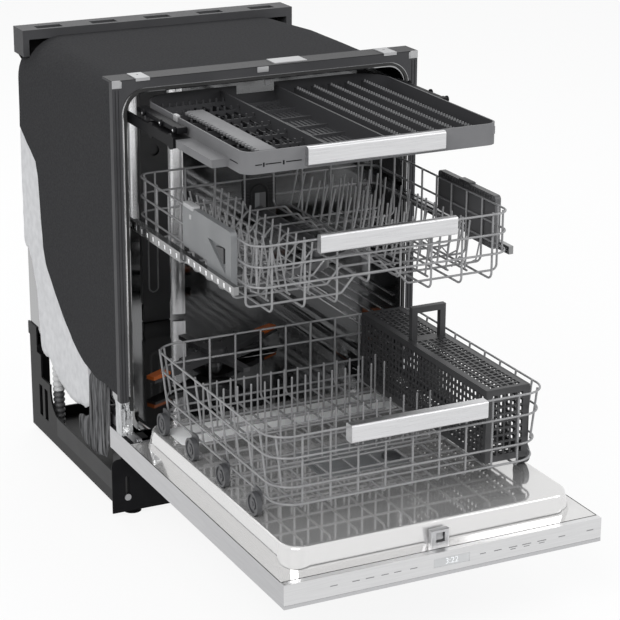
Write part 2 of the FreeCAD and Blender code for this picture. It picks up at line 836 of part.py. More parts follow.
def vent_hose():
    """A short ribbed hose between the tub's left corner and the base."""
    x = -(base_half - post_width + hose_radius - 6)
    low = base_bottom_z + base_plate
    high = tub_under - 2 * wall_gap
    pitch = (high - low) / hose_ribs
    circles = []
    for i in range(hose_ribs):
        z = low + i * pitch
        for share, grow in ((0.0, 0.0), (0.25, 0.0), (0.4, hose_rib), (0.85, hose_rib)):
            circles.append((z + share * pitch, hose_radius - hose_rib + grow))
    circles.append((high, hose_radius - hose_rib))
    wires = [Part.Wire(Part.makeCircle(r, Vector(x, hose_y, z))) for z, r in circles]
    hose = Part.makeLoft(wires, True, True)
    return hose.cut(cylinder(hose_bore, (x, hose_y, low - 1), (x, hose_y, high + 1)))


def hinge_brackets():
    y1 = post_front_y + post_depth
    low = pivot_z - hinge_eye
    plate = box(hinge_x, hinge_x + hinge_plate, pivot_y, y1, low, tub_under - rim_drop - 2)
    plate = plate.fuse(cylinder(hinge_eye, (hinge_x, pivot_y, pivot_z),
                                (hinge_x + hinge_plate, pivot_y, pivot_z)))
    plate = plate.cut(box(hinge_x - 1, hinge_x + hinge_plate + 1, pivot_y - 2 * hinge_eye, y1 + 1,
                          tub_under - rim_drop - 1, frame_height))
    bore = cylinder(pin_radius + running_gap, (hinge_x - 1, pivot_y, pivot_z),
                    (hinge_x + hinge_plate + 1, pivot_y, pivot_z))
    return group(pair(plate.cut(bore)))


def rear_manifold():
    y0 = tub_depth - manifold_depth
    half = manifold_width / 2
    duct = rounded_box(-half, half, y0, tub_depth, tub_floor_z + tub_corner, manifold_top_z, half / 3, "y")
    port_z = feed_z()
    return duct.cut(cylinder(feed_radius - 3, (0, y0 - 1, port_z), (0, tub_depth - 2, port_z)))


def rail(x0, y0, y1, z, height):
    return box(x0, x0 + rail_thickness, y0, y1, z - height / 2, z + height / 2)


def fixed_rails():
    x0 = tub_half - rail_thickness
    upper = rail(x0, rail_rear_y - rail_length, rail_rear_y, rail_z, rail_height)
    third = rail(x0, third_rail_rear_y - third_rail_length, tub_flare_y, third_rail_z, third_rail_height)
    return group(pair(upper) + pair(third))


def arm_blade(reach, root, tip, z0, z1):
    outline = [(-reach, -tip / 2), (0, -root / 2), (reach, -tip / 2), (reach, tip / 2), (0, root / 2),
               (-reach, tip / 2)]
    return prism(outline, "z", z0, z1)


def lower_spray_arm():
    z1 = hub_top_z - 2
    z0 = z1 - arm_thickness
    blade = arm_blade(arm_reach, arm_root * 1.7, arm_tip * 1.6, z0, z1)
    short = arm_blade(arm_reach * 0.62, arm_root, arm_tip, z0 + 1, z1 - 1)
    short.rotate(Vector(0, 0, 0), Vector(0, 0, 1), 72)
    boss = cylinder(arm_root, (0, 0, z0 - 4), (0, 0, hub_top_z + 8))
    tip_cut = box(arm_reach - tip_length, arm_reach + 1, -arm_tip, arm_tip, z1 - arm_thickness / 2, z1 + 1)
    arm = joined([blade, short, boss])
    arm = arm.cut(cylinder(hub_radius + running_gap, (0, 0, 0), (0, 0, hub_top_z + wall_gap)))
    arm = arm.cut(tip_cut)
    tip_cut.rotate(Vector(0, 0, 0), Vector(0, 0, 1), 180)
    arm = arm.cut(tip_cut)
    arm.rotate(Vector(0, 0, 0), Vector(0, 0, 1), arm_angle)
    arm.translate(Vector(0, hub_y, 0))
    return arm


def spray_arm_tips():
    z1 = hub_top_z - 2
    tips = []
    for turn in (0, 180):
        tip = prism([(arm_reach - tip_length, -arm_tip * 0.75), (arm_reach, -arm_tip * 0.6),
                     (arm_reach, arm_tip * 0.6), (arm_reach - tip_length, arm_tip * 0.75)],
                    "z", z1 - arm_thickness / 2, z1 + 1.5)
        tip.rotate(Vector(0, 0, 0), Vector(0, 0, 1), arm_angle + turn)
        tip.translate(Vector(0, hub_y, 0))
        tips.append(tip)
    return group(tips)


# Door


def door_outer_panel():
    front = door_front_y + strip_sheet
    block = box(-door_half, door_half, front, door_rear_y, door_outer_z, door_flange_z)
    hollow = box(-door_half + door_sheet, door_half - door_sheet, front + door_sheet, door_rear_y + 1,
                 door_outer_z + door_sheet, door_flange_z + 1)
    lip = box(-door_half, door_half, door_front_y, front + door_sheet, door_outer_z, door_outer_z + strip_lip)
    return block.cut(hollow).fuse(lip)


def pan_outline(z, inset):
    """The pan's rounded outline at one level."""
    half = pan_half - inset
    front, rear = pan_front_y + inset, pan_rear_y - inset
    corners = [(half, front, z), (half, rear, z), (-half, rear, z), (-half, front, z), (0, front, z)]
    return bent_path(corners[-1:] + corners[:-1], pan_corner, True)


def pan_form(inset):
    """The raised pan of the liner with sloping walls, shrunk by an inset."""
    low = door_flange_z - liner_sheet - inset
    high = track_z - inset
    pan = Part.makeLoft([pan_outline(low, inset), pan_outline(high, inset + pan_draft)], True, True)
    top = [e for e in pan.Edges if abs(e.CenterOfMass.z - high) < 0.01]
    return pan.makeFillet(pan_edge - inset, top)


def dispenser_hole(grow):
    return box(-dispenser_width / 2 - grow, dispenser_width / 2 + grow,
               dispenser_y - dispenser_length / 2 - grow,
               dispenser_y + dispenser_length / 2 + grow, door_flange_z, track_z + 10)


def door_liner():
    half = door_half - door_sheet - liner_gap
    flange = box(-half, half, door_front_y + strip_return + liner_gap, pan_rear_y,
                 door_flange_z - liner_sheet, door_flange_z)
    liner = flange.fuse(pan_form(0)).cut(pan_form(liner_sheet))
    return liner.cut(dispenser_hole(liner_gap / 2))


def control_strip():
    low = door_outer_z + strip_lip + liner_gap
    face = box(-door_half, door_half, door_front_y, door_front_y + strip_sheet, low, door_flange_z)
    top = box(-door_half, door_half, door_front_y, door_front_y + strip_sheet, door_flange_z - 0.1,
              door_flange_z + door_sheet)
    top = top.fuse(box(-door_half, door_half, door_front_y, door_front_y + strip_return,
                       door_flange_z, door_flange_z + door_sheet))
    window = box(display_x - display_width / 2 - display_gap, display_x + display_width / 2 + display_gap,
                 door_front_y - 1, door_front_y + strip_sheet + 1,
                 display_z - display_height / 2 - display_gap, display_z + display_height / 2 + display_gap)
    return joined([face, top]).cut(window)


def display_window():
    return rounded_box(display_x - display_width / 2, display_x + display_width / 2, door_front_y,
                       door_front_y + strip_sheet, display_z - display_height / 2,
                       display_z + display_height / 2, 1.5, "y")


def door_latch():
    y1 = pan_front_y - liner_gap
    y0 = y1 - latch_depth
    half = latch_width / 2
    body = rounded_box(-half, half, y0, y1, door_flange_z, door_flange_z + latch_height, 3, "z")
    mouth = box(-pawl_width / 2 - 2, pawl_width / 2 + 2, y0 - 1, y1 - 2,
                door_flange_z + 5, door_flange_z + latch_height - 4)
    return body.cut(mouth)


def latch_axis():
    return pan_front_y - liner_gap - 6, door_flange_z + 10


def latch_pawl():
    y, z = latch_axis()
    half = pawl_width / 2
    barrel = cylinder(3, (-half, y, z), (half, y, z))
    finger = box(-half, half, y - 2, y + 1, z, z + 10)
    shaft = cylinder(1.4, (-half - 1.7, y, z), (half + 1.7, y, z))
    return joined([barrel, finger, shaft])


def dispenser_body():
    half = dispenser_width / 2
    y0, y1 = dispenser_y - dispenser_length / 2, dispenser_y + dispenser_length / 2
    top = track_z + dispenser_lip
    block = box(-half, half, y0, y1, track_z - dispenser_depth, top)
    rim = rounded_box(-half - 3, half + 3, y0 - 3, y1 + 3, track_z, top, 6, "z")
    cup = rounded_box(-half + 10, -half + 10 + lid_width - 10, dispenser_y - lid_length / 2 + 6,
                      dispenser_y + lid_length / 2 - 6, track_z - dispenser_depth + 3, top + 1, 8, "z")
    return block.fuse(rim).cut(cup)


def dispenser_lid():
    x0 = -dispenser_width / 2 + 5
    z0 = track_z + dispenser_lip + lid_gap
    lid = rounded_box(x0, x0 + lid_width, dispenser_y - lid_length / 2, dispenser_y + lid_length / 2,
                      z0, z0 + lid_thickness, 7, "z")
    grip = box(x0 + 8, x0 + 14, dispenser_y - 14, dispenser_y + 14,
               z0 + lid_thickness - 0.5, z0 + lid_thickness + 2)
    return lid.fuse(grip)


def cap_centre():
    return dispenser_width / 2 - cap_radius - 6, dispenser_y - dispenser_length / 4


def rinse_cap():
    x, y = cap_centre()
    z0 = track_z + dispenser_lip + lid_gap
    cap = cylinder(cap_radius, (x, y, z0), (x, y, z0 + cap_height - 3))
    bar = box(x - cap_radius + 4, x + cap_radius - 4, y - 3, y + 3, z0 + cap_height - 4, z0 + cap_height)
    return cap.fuse(bar)


def hinge_arms():
    x0 = hinge_x + hinge_plate + rail_gap
    x1 = x0 + hinge_plate
    top = door_flange_z - liner_sheet
    bar = box(x0, x1, pivot_y - hinge_arm_length, pivot_y, top - hinge_arm_height, top)
    eye = cylinder(hinge_eye, (x0, pivot_y, pivot_z), (x1, pivot_y, pivot_z))
    eye = eye.cut(box(x0 - 1, x1 + 1, pan_rear_y - 40, pan_rear_y + liner_gap, top, frame_height))
    arm = bar.fuse(eye)
    return group(pair(arm.cut(cylinder(pin_radius, (x0 - 1, pivot_y, pivot_z), (x1 + 1, pivot_y, pivot_z)))))


def hinge_pins():
    x0 = hinge_x - 2
    x1 = hinge_x + 2 * hinge_plate + rail_gap + 2
    return group(pair(cylinder(pin_radius, (x0, pivot_y, pivot_z), (x1, pivot_y, pivot_z))))


# Lower rack


def lower_side(z):
    """Half width of the lower rack's side wires at a height."""
    share = (z - lower_bottom_z) / (lower_top_z - lower_bottom_z)
    return lower_half_bottom - weld + share * (lower_half_top - lower_half_bottom)


def lower_rack_wire():
    levels = (lower_top_z, lower_top_z - 37, lower_bottom_z + 36, lower_bottom_z + 5)
    wires = [hoop(lower_side(z) + weld, lower_front_y, lower_rear_y, z, wire, lower_corner) for z in levels]
    over = lower_top_z + wire
    for y in spread(lower_front_y + lower_corner + 8, lower_rear_y - 22, lower_cross):
        wires.append(rod([(-lower_side(over), y, over), (-lower_side(lower_bottom_z), y, lower_bottom_z),
                          (lower_side(lower_bottom_z), y, lower_bottom_z), (lower_side(over), y, over)],
                         wire, lower_bend))
    low = lower_bottom_z - weld
    for x in spread(-lower_half_bottom + lower_corner, lower_half_bottom - lower_corner, lower_long):
        wires.append(rod([(x, lower_front_y + weld, over), (x, lower_front_y + weld, low),
                          (x, lower_rear_y - weld, low), (x, lower_rear_y - weld, over)], wire, lower_bend))
    wires += corner_posts(lower_side(levels[2]) + weld, lower_side(over) + weld, lower_front_y, lower_rear_y,
                          lower_corner, levels[2], over)
    wall_low = lower_bottom_z + wall_start
    cut_x = lower_half_bottom - lower_corner + 2 * wire
    floor = box(-door_half, door_half, lower_front_y - weld, lower_rear_y + weld, 0, wall_low)
    return group(panels(joined(wires), lower_half_top, cut_x, lower_front_y, lower_rear_y, lower_corner,
                        wall_low, [floor]))


def handle(front, rear, top):
    """A drawn bar with softly rounded edges."""
    bar = rounded_box(-handle_half, handle_half, front, rear, top - handle_height, top, handle_edge, "x")
    back = box(-handle_half + 8, handle_half - 8, front + 3, rear + 1, top - handle_height + 3, top - 6)
    return bar.cut(back)


def lower_rack_handle():
    rear = lower_front_y - wire - rail_gap
    return handle(rear - lower_handle_depth, rear, lower_top_z + 10)


def wheel_places():
    return spread(lower_front_y + 72, lower_rear_y - 30, 4)


def wheel_inner_x():
    return lower_side(lower_bottom_z + 5) + weld + wire + rail_gap + carrier_plate + roll_gap


def lower_wheels(y):
    x0 = wheel_inner_x()
    x1 = x0 + wheel_width
    tyre = ring(wheel_radius, axle_radius + running_gap, (x0, y, wheel_z), (x1, y, wheel_z))
    groove = ring(wheel_radius - 4, wheel_radius * 0.5, (x1 - 2, y, wheel_z), (x1 + 1, y, wheel_z))
    return group(pair(tyre.cut(groove)))


def wheel_carriers():
    carriers = []
    x1 = wheel_inner_x() - roll_gap
    x0 = x1 - carrier_plate
    for y in wheel_places():
        plate = rounded_box(x0, x1, y - carrier_half, y + carrier_half,
                            wheel_z - 8, lower_bottom_z + 14, 5, "x")
        axle = cylinder(axle_radius, (x0 + 0.5, y, wheel_z), (x1 + roll_gap + wheel_width + 1, y, wheel_z))
        carriers.extend(pair(plate.fuse(axle)))
    return group(carriers)


def tine_axis_z():
    return lower_bottom_z - weld + wire + rail_gap + wire


def tine_row(y, first_x, last_x):
    """A rod with upright tines that folds down about its own axis."""
    z = tine_axis_z()
    count = int((last_x - first_x) / tine_pitch)
    pieces = [cylinder(wire, (first_x, y, z), (first_x + count * tine_pitch, y, z))]
    for i in range(count + 1):
        x = first_x + i * tine_pitch
        pieces.append(cylinder(fine_wire, (x, y, z), (x, y, z + tine_height)))
        pieces.append(Part.makeSphere(fine_wire, Vector(x, y, z + tine_height)))
    return joined(pieces)


def rear_tine_y():
    return lower_rear_y - 116


def front_tine_y():
    return lower_front_y + 168


def lower_tines_rear():
    return tine_row(rear_tine_y(), -lower_half_bottom + 30, basket_left_x - 14)


def lower_tines_front():
    return tine_row(front_tine_y(), -lower_half_bottom + 30, basket_left_x - 14)


def cutlery_basket():
    width = basket_right_x - basket_left_x
    length = basket_rear_y - basket_front_y
    z0 = lower_bottom_z + wire + rail_gap
    height = basket_top_z - z0
    sheet = basket_sheet
    sides = [across_x(grid_plate(length, height, sheet, 7, basket_hole, basket_web), x, basket_front_y, z0)
             for x in (basket_left_x, basket_right_x - sheet)]
    ends = [across_y(grid_plate(width, height, sheet, 7, basket_hole, basket_web), basket_left_x, y, z0)
            for y in (basket_front_y, basket_rear_y - sheet)]
    floor = laid(grid_plate(width, length, sheet, 7, basket_hole, basket_web),
                 basket_left_x, basket_front_y, z0)
    bar = basket_handle_bar
    y0, y1 = basket_handle_y - bar / 2, basket_handle_y + bar / 2
    bridge = box(basket_left_x, basket_right_x, y0, y1, basket_top_z - 2 * sheet, basket_top_z)
    left, right = basket_left_x + 8, basket_right_x - 8
    under = basket_handle_top_z - bar
    posts = [box(x, x + bar, y0, y1, basket_top_z, under) for x in (left, right - bar)]
    grip = box(left, right, y0, y1, under, basket_handle_top_z)
    return group([joined(sides + ends + [floor, bridge])] + posts + [grip])


def basket_lid(y0, y1):
    """A grid that closes one part of the basket and swings up about its right edge."""
    x0 = basket_left_x + basket_sheet + lid_clearance
    x1 = basket_right_x - basket_sheet - 3 * lid_clearance
    return laid(grid_plate(x1 - x0, y1 - y0, basket_sheet, 4, basket_hole, basket_web), x0, y0,
                basket_top_z - basket_sheet)


def basket_lid_front():
    return basket_lid(basket_front_y + basket_sheet + lid_clearance,
                      basket_handle_y - basket_handle_bar / 2 - lid_clearance)


def basket_lid_rear():
    return basket_lid(basket_handle_y + basket_handle_bar / 2 + lid_clearance,
                      basket_rear_y - basket_sheet - lid_clearance)


# Upper rack


def upper_rack_wire():
    levels = (upper_top_z, upper_top_z - 35, upper_top_z - 69)
    wires = [hoop(upper_half, upper_front_y, upper_rear_y, z, wire, upper_corner) for z in levels]
    over = upper_top_z + wire
    side = upper_half - weld
    low, high = upper_bottom_z, upper_bottom_z + upper_step
    for y in spread(upper_front_y + upper_corner + 10, upper_rear_y - upper_corner - 6, upper_cross):
        wires.append(rod([(-side, y, over), (-side, y, low), (-upper_step_half, y, low),
                          (-upper_step_half + 24, y, high), (upper_step_half - 24, y, high),
                          (upper_step_half, y, low), (side, y, low), (side, y, over)], wire, 10))
    for x in spread(-upper_half + upper_corner + 6, upper_half - upper_corner - 6, upper_long):
        z = (high if abs(x) < upper_step_half - 24 else low) - weld
        wires.append(rod([(x, upper_front_y + weld, over), (x, upper_front_y + weld, z),
                          (x, upper_rear_y - weld, z), (x, upper_rear_y - weld, over)], wire, 12))
    wall_low = low + wall_start
    middle = upper_step_half + 6
    floor = box(middle, door_half, upper_front_y - weld, upper_rear_y + weld, 0, wall_low)
    hump = box(-middle, middle, upper_front_y - weld, upper_rear_y + weld, 0, high + hump_start)
    wires += corner_posts(upper_half, upper_half, upper_front_y, upper_rear_y, upper_corner, levels[2], over)
    cut_x = upper_half - upper_corner - wire
    rack = panels(joined(wires), upper_half, cut_x, upper_front_y, upper_rear_y, upper_corner, wall_low,
                  pair(floor) + [hump])
    return group(rack + upper_tines())


def upper_tines():
    """Four rows of fixed tines, each on a rod that lies on the floor wires."""
    z = upper_bottom_z + 2 * wire + tine_seat
    rows = []
    for x in (-upper_half + 46, -upper_half + 122, upper_half - 134, upper_half - 58):
        row = [cylinder(wire, (x, upper_front_y + 44, z), (x, upper_rear_y - 40, z))]
        for y in spread(upper_front_y + 52, upper_rear_y - 50, 14):
            row.append(cylinder(fine_wire, (x, y, z), (x + 8, y, z + tine_height)))
        rows.append(joined(row))
    return rows


def upper_rack_handle():
    rear = upper_front_y - wire - rail_gap
    return handle(rear - upper_handle_depth, rear, upper_top_z + 10)


def adjuster_inner_x():
    return upper_half + wire + rail_gap


def height_adjusters():
    x0 = adjuster_inner_x()
    x1 = x0 + adjuster_thickness
    y0, y1 = adjuster_front_y, adjuster_front_y + adjuster_length
    plate = rounded_box(x0, x1, y0, y1, adjuster_low_z + 22, adjuster_high_z, 7, "x")
    foot = rounded_box(x0, x1, y0, y0 + 96, adjuster_low_z, adjuster_high_z - 20, 7, "x")
    body = plate.fuse(foot)
    recess = prism([(y0 + 22, adjuster_low_z + 18), (y0 + 92, adjuster_low_z + 62),
                    (y0 + 22, adjuster_low_z + 62)],
                   "x", x1 - lever_thickness - lever_gap, x1 + 1)
    return group(pair(body.cut(recess)))


def adjuster_levers():
    x1 = adjuster_inner_x() + adjuster_thickness
    y0 = adjuster_front_y
    lever = prism([(y0 + 30, adjuster_low_z + 34), (y0 + 62, adjuster_low_z + 56),
                   (y0 + 30, adjuster_low_z + 60)],
                  "x", x1 - lever_thickness, x1 - 0.2)
    return group(pair(lever))


def rail_stage_x(stage):
    """Inner face of a rail stage: 0 is fixed to the tub, 1 is the middle, 2 rides on the rack."""
    return tub_half - rail_thickness - stage * (rail_thickness + rail_gap)


def upper_rails_mid():
    y1 = rail_rear_y - upper_travel / 2
    bar = rail(rail_stage_x(1), y1 - rail_length, y1, rail_z, rail_height - 3)
    return group(pair(bar))


def upper_rails_inner():
    x0 = adjuster_inner_x() + adjuster_thickness + rail_gap
    y1 = rail_rear_y - upper_travel
    body = box(x0, rail_stage_x(1) - rail_gap, y1 - rail_length + 40, y1, rail_z - rail_height / 2 + 3,
               rail_z + rail_height / 2 - 3)
    return group(pair(body))


def feed_z():
    return upper_bottom_z + upper_step - wire - rail_gap - feed_radius


def arm_boss_top():
    return feed_z() - feed_radius - rail_gap


def upper_feed_tube():
    rear = upper_rear_y - 2
    z = feed_z()
    tube = cylinder(feed_radius, (0, upper_arm_y, z), (0, rear, z))
    knuckle = cylinder(feed_radius, (0, upper_arm_y, z - feed_radius), (0, upper_arm_y, z + feed_radius))
    stop_z = arm_boss_top() - upper_boss_height - rail_gap
    stub = cylinder(feed_stub, (0, upper_arm_y, stop_z - 1), (0, upper_arm_y, z))
    stop = cylinder(feed_stub + 5, (0, upper_arm_y, stop_z - 5), (0, upper_arm_y, stop_z))
    return joined([tube, knuckle, stub, stop])


def upper_spray_arm():
    top = arm_boss_top()
    z0 = top - upper_boss_height + 3
    blade = arm_blade(upper_arm_reach, arm_root, arm_tip, z0, z0 + arm_thickness)
    boss = cylinder(arm_root * 0.8, (0, 0, top - upper_boss_height), (0, 0, top))
    arm = blade.fuse(boss).cut(cylinder(feed_stub + running_gap, (0, 0, 0), (0, 0, frame_height)))
    arm.rotate(Vector(0, 0, 0), Vector(0, 0, 1), 24)
    arm.translate(Vector(0, upper_arm_y, 0))
    return arm


# Third rack


def tray_block(inset, low, high):
    """The tray's form, with wide rear corners, drawn in by an inset."""
    half = third_half - inset
    block = box(-half, half, third_front_y + inset, third_rear_y - inset, low, high)
    upright = [e for e in block.Edges if abs(e.tangentAt(e.FirstParameter).z) > 0.99]
    rear = [e for e in upright if e.CenterOfMass.y > third_front_y + 2 * third_corner]
    block = block.makeFillet(third_rear_corner - inset, rear)
    front = [e for e in block.Edges if abs(e.tangentAt(e.FirstParameter).z) > 0.99
             and abs(abs(e.CenterOfMass.x) - half) < 0.01
             and e.CenterOfMass.y < third_front_y + 2 * third_corner]
    return block.makeFillet(third_corner - inset, front)


def third_tray():
    half = third_half
    tray = tray_block(0, third_floor_z, third_top_z).cut(
        tray_block(third_wall, third_floor_z + third_wall, third_top_z + 1))
    runner = box(half - 0.5, rail_stage_x(1) + rail_thickness / 2 - rail_gap, third_front_y + runner_front,
                 third_front_y + runner_front + runner_length, third_rail_z - rail_groove / 2 + rail_gap,
                 third_rail_z + rail_groove / 2 - rail_gap)
    slots = []
    pitch = third_slot + third_rib
    y0, y1 = third_front_y + 34, third_rear_y - 24
    for i in range(int((2 * half - 4 * third_corner) / pitch)):
        x = -half + 2 * third_corner + i * pitch
        slots.append(box(x, x + third_slot, y0, y1, third_floor_z - 1, third_floor_z + third_wall + 1))
    tray = tray.cut(Part.makeCompound(slots))
    ribs = []
    for y in spread(y0, y1, 7):
        ribs.append(box(-half + 1, half - 1, y - 2, y + 2, third_floor_z, third_floor_z + third_wall + 5))
    for i in range(5):
        x = half - 34 - i * 34
        ribs.append(box(x - 1.5, x + 1.5, third_front_y + 20, third_rear_y - 10,
                        third_floor_z, third_top_z - 12))
    divider = [box(x - 2, x + 2, third_front_y + 1, third_rear_y - 1, third_floor_z, third_top_z - 6)
               for x in (-half / 3, half / 8)]
    tray = joined([tray] + ribs + divider + cutlery_combs() + pair(runner))
    dip = box(-half / 3 + 30, half / 8 - 2, third_rear_y - third_wall - 1, third_rear_y + 1,
              third_top_z - 16, third_top_z + 1)
    return tray.cut(dip)


def cutlery_combs():
    """Toothed bars that hold cutlery on the tray's left side."""
    half = third_half
    bars = []
    z0 = third_floor_z + third_wall
    right = -half / 3
    for y in spread(third_front_y + 34, third_rear_y - 24, 7):
        bars.append(box(-half + 1, right, y - 1.5, y + 1.5, z0, z0 + 14))
        for x in spread(-half + third_wall + 6, right - 6, 12):
            bars.append(box(x - 1.6, x + 1.6, y - 1.5, y + 1.5, z0 + 13, z0 + 21))
    rails = [box(x - 2, x + 2, third_front_y + 32, third_rear_y - 22, z0 - 1, z0 + 7)
             for x in spread(-half + third_wall + 12, right - 12, 3)]
    return bars + rails


def third_rack_handle():
    rear = third_front_y - rail_gap
    return handle(rear - third_handle_depth, rear, third_top_z)


def third_rails_mid():
    y1 = third_rail_rear_y - third_travel / 2
    x0 = rail_stage_x(1)
    front = y1 - third_rail_length
    bar = rail(x0, front, y1, third_rail_z, third_rail_height)
    slot = box(x0 - 1, x0 + rail_thickness / 2, front - 1, y1 + 1, third_rail_z - rail_groove / 2,
               third_rail_z + rail_groove / 2)
    bar = bar.cut(slot)
    for y in (front + 14, front + 100):
        bar = bar.fuse(cylinder(roller_radius, (x0 + rail_thickness / 2, y, third_rail_z),
                                (x0 + rail_thickness, y, third_rail_z)))
    return group(pair(bar))


makers = {
    "tub_shell": tub_shell, "front_frame": front_frame, "tub_gasket": tub_gasket,
    "insulation_blanket": insulation_blanket, "side_batting": side_batting, "fibre_pads": fibre_pads,
    "base_frame": base_frame, "rear_crossbar": rear_crossbar, "toe_kick": toe_kick,
    "toe_kick_screws": toe_kick_screws, "levelling_feet": levelling_feet,
    "mounting_brackets": mounting_brackets, "latch_strike": latch_strike,
    "sump": sump, "twist_filter": twist_filter, "fine_filter": fine_filter, "wash_pump": wash_pump,
    "drain_pump": drain_pump, "inlet_valve": inlet_valve, "junction_box": junction_box,
    "vent_hose": vent_hose, "hinge_brackets": hinge_brackets, "rear_manifold": rear_manifold,
    "fixed_rails": fixed_rails,
    "lower_spray_arm": lower_spray_arm, "spray_arm_tips": spray_arm_tips,
    "door_outer_panel": door_outer_panel, "door_liner": door_liner, "control_strip": control_strip,
    "display_window": display_window, "door_latch": door_latch, "latch_pawl": latch_pawl,
    "dispenser_body": dispenser_body, "dispenser_lid": dispenser_lid, "rinse_cap": rinse_cap,
    "hinge_arms": hinge_arms, "hinge_pins": hinge_pins,
    "lower_rack_wire": lower_rack_wire, "lower_rack_handle": lower_rack_handle,
    "wheel_carriers": wheel_carriers, "lower_tines_rear": lower_tines_rear,
    "lower_tines_front": lower_tines_front, "cutlery_basket": cutlery_basket,
    "basket_lid_front": basket_lid_front, "basket_lid_rear": basket_lid_rear,
    "upper_rack_wire": upper_rack_wire, "upper_rack_handle": upper_rack_handle,
    "height_adjusters": height_adjusters, "adjuster_levers": adjuster_levers,
    "upper_rails_mid": upper_rails_mid, "upper_rails_inner": upper_rails_inner,
    "upper_feed_tube": upper_feed_tube, "upper_spray_arm": upper_spray_arm,
    "third_tray": third_tray, "third_rack_handle": third_rack_handle,
    "third_rails_mid": third_rails_mid,
}

to_middle = Vector(0, -(door_front_y + tub_back + soft_gap + batting_rear) / 2, 0)


def write(shape, name):
    shape.translate(to_middle)
    shape.exportStep(f"parts/{name}.step")


os.makedirs("parts", exist_ok=True)
for name, make in makers.items():
    write(make(), name)
for number, y in enumerate(wheel_places(), 1):
    write(lower_wheels(y), f"lower_wheels_{number}")
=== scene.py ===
import math
import bmesh
import bpy
from mathutils import Matrix, Vector, noise


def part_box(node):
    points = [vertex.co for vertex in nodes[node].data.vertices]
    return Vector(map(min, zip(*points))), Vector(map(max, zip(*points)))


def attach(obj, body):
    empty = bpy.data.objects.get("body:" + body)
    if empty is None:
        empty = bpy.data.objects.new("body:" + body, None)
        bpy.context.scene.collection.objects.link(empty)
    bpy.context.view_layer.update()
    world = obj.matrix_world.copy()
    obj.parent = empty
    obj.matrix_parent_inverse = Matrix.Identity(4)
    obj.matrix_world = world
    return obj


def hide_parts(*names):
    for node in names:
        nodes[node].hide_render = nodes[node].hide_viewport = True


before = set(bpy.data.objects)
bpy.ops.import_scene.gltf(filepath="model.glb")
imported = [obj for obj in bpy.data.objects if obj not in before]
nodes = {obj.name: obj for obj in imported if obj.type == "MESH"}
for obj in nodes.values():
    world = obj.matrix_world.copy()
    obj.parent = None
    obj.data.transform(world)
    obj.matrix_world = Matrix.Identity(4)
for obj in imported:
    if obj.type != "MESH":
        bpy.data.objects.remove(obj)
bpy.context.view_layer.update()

# The cabinet's front plane lies this far behind the origin, and millimetre measures start from it
FRONT_PLANE = 0.0487


def in_frame(x, y, z):
    """A place in metres for millimetres from the cabinet's front plane."""
    return (x / 1000, y / 1000 + FRONT_PLANE, z / 1000)


# Finishes


def shader_of(material):
    return material.node_tree.nodes["Principled BSDF"]


def new_finish(name, colour, roughness, metallic=0.0):
    """A plain finish to build on."""
    material = bpy.data.materials.new(name)
    material.use_nodes = True
    shader = shader_of(material)
    shader.inputs["Base Color"].default_value = (*colour, 1.0)
    shader.inputs["Roughness"].default_value = roughness
    shader.inputs["Metallic"].default_value = metallic
    return material


def reckon(tree, operation, first, second):
    """One step of arithmetic on two node outputs, or on an output and a plain number."""
    step = tree.nodes.new("ShaderNodeMath")
    step.operation = operation
    for socket, value in zip(step.inputs, (first, second)):
        if isinstance(value, float):
            socket.default_value = value
        else:
            tree.links.new(value, socket)
    return step.outputs[0]


def pattern(material, scale, stretch=(1, 1, 1), detail=3.0):
    """A noise on the piece's own coordinates, drawn out along some axes."""
    tree = material.node_tree
    place = tree.nodes.new("ShaderNodeTexCoord")
    lay = tree.nodes.new("ShaderNodeMapping")
    lay.inputs["Scale"].default_value = stretch
    cloud = tree.nodes.new("ShaderNodeTexNoise")
    cloud.inputs["Scale"].default_value = scale
    cloud.inputs["Detail"].default_value = detail
    tree.links.new(place.outputs["Object"], lay.inputs["Vector"])
    tree.links.new(lay.outputs["Vector"], cloud.inputs["Vector"])
    return cloud.outputs["Fac"]


def colour_between(material, source, low, high, start=0.3, end=0.7):
    """Lets a pattern move the colour between two tones."""
    tree = material.node_tree
    ramp = tree.nodes.new("ShaderNodeValToRGB")
    ramp.color_ramp.elements[0].position = start
    ramp.color_ramp.elements[0].color = (*low, 1)
    ramp.color_ramp.elements[1].position = end
    ramp.color_ramp.elements[1].color = (*high, 1)
    tree.links.new(source, ramp.inputs["Fac"])
    tree.links.new(ramp.outputs["Color"], shader_of(material).inputs["Base Color"])


def roughness_between(material, source, low, high):
    """Lets a pattern move the roughness between two values."""
    tree = material.node_tree
    spread = tree.nodes.new("ShaderNodeMapRange")
    spread.inputs["From Min"].default_value = 0.3
    spread.inputs["From Max"].default_value = 0.7
    spread.inputs["To Min"].default_value = low
    spread.inputs["To Max"].default_value = high
    tree.links.new(source, spread.inputs["Value"])
    tree.links.new(spread.outputs["Result"], shader_of(material).inputs["Roughness"])


def raised(material, source, depth, strength):
    """Lets a pattern raise the surface a little."""
    tree = material.node_tree
    bump = tree.nodes.new("ShaderNodeBump")
    bump.inputs["Distance"].default_value = depth
    bump.inputs["Strength"].default_value = strength
    tree.links.new(source, bump.inputs["Height"])
    tree.links.new(bump.outputs["Normal"], shader_of(material).inputs["Normal"])


BRUSH_SCALE = 900
BRUSH_DEPTH = 0.00004
MOULD_SCALE = 1800
MOULD_DEPTH = 0.00006
CLOTH_GLOSS = 0.04


def brushed_metal(name, dark, light, low, high, stretch):
    """Metal with a fine grain, drawn out along the brushing."""
    material = new_finish(name, light, low, 1.0)
    grain = pattern(material, BRUSH_SCALE, stretch, 2.0)
    colour_between(material, grain, dark, light)
    roughness_between(material, grain, low, high)
    raised(material, grain, BRUSH_DEPTH, 0.25)
    return material


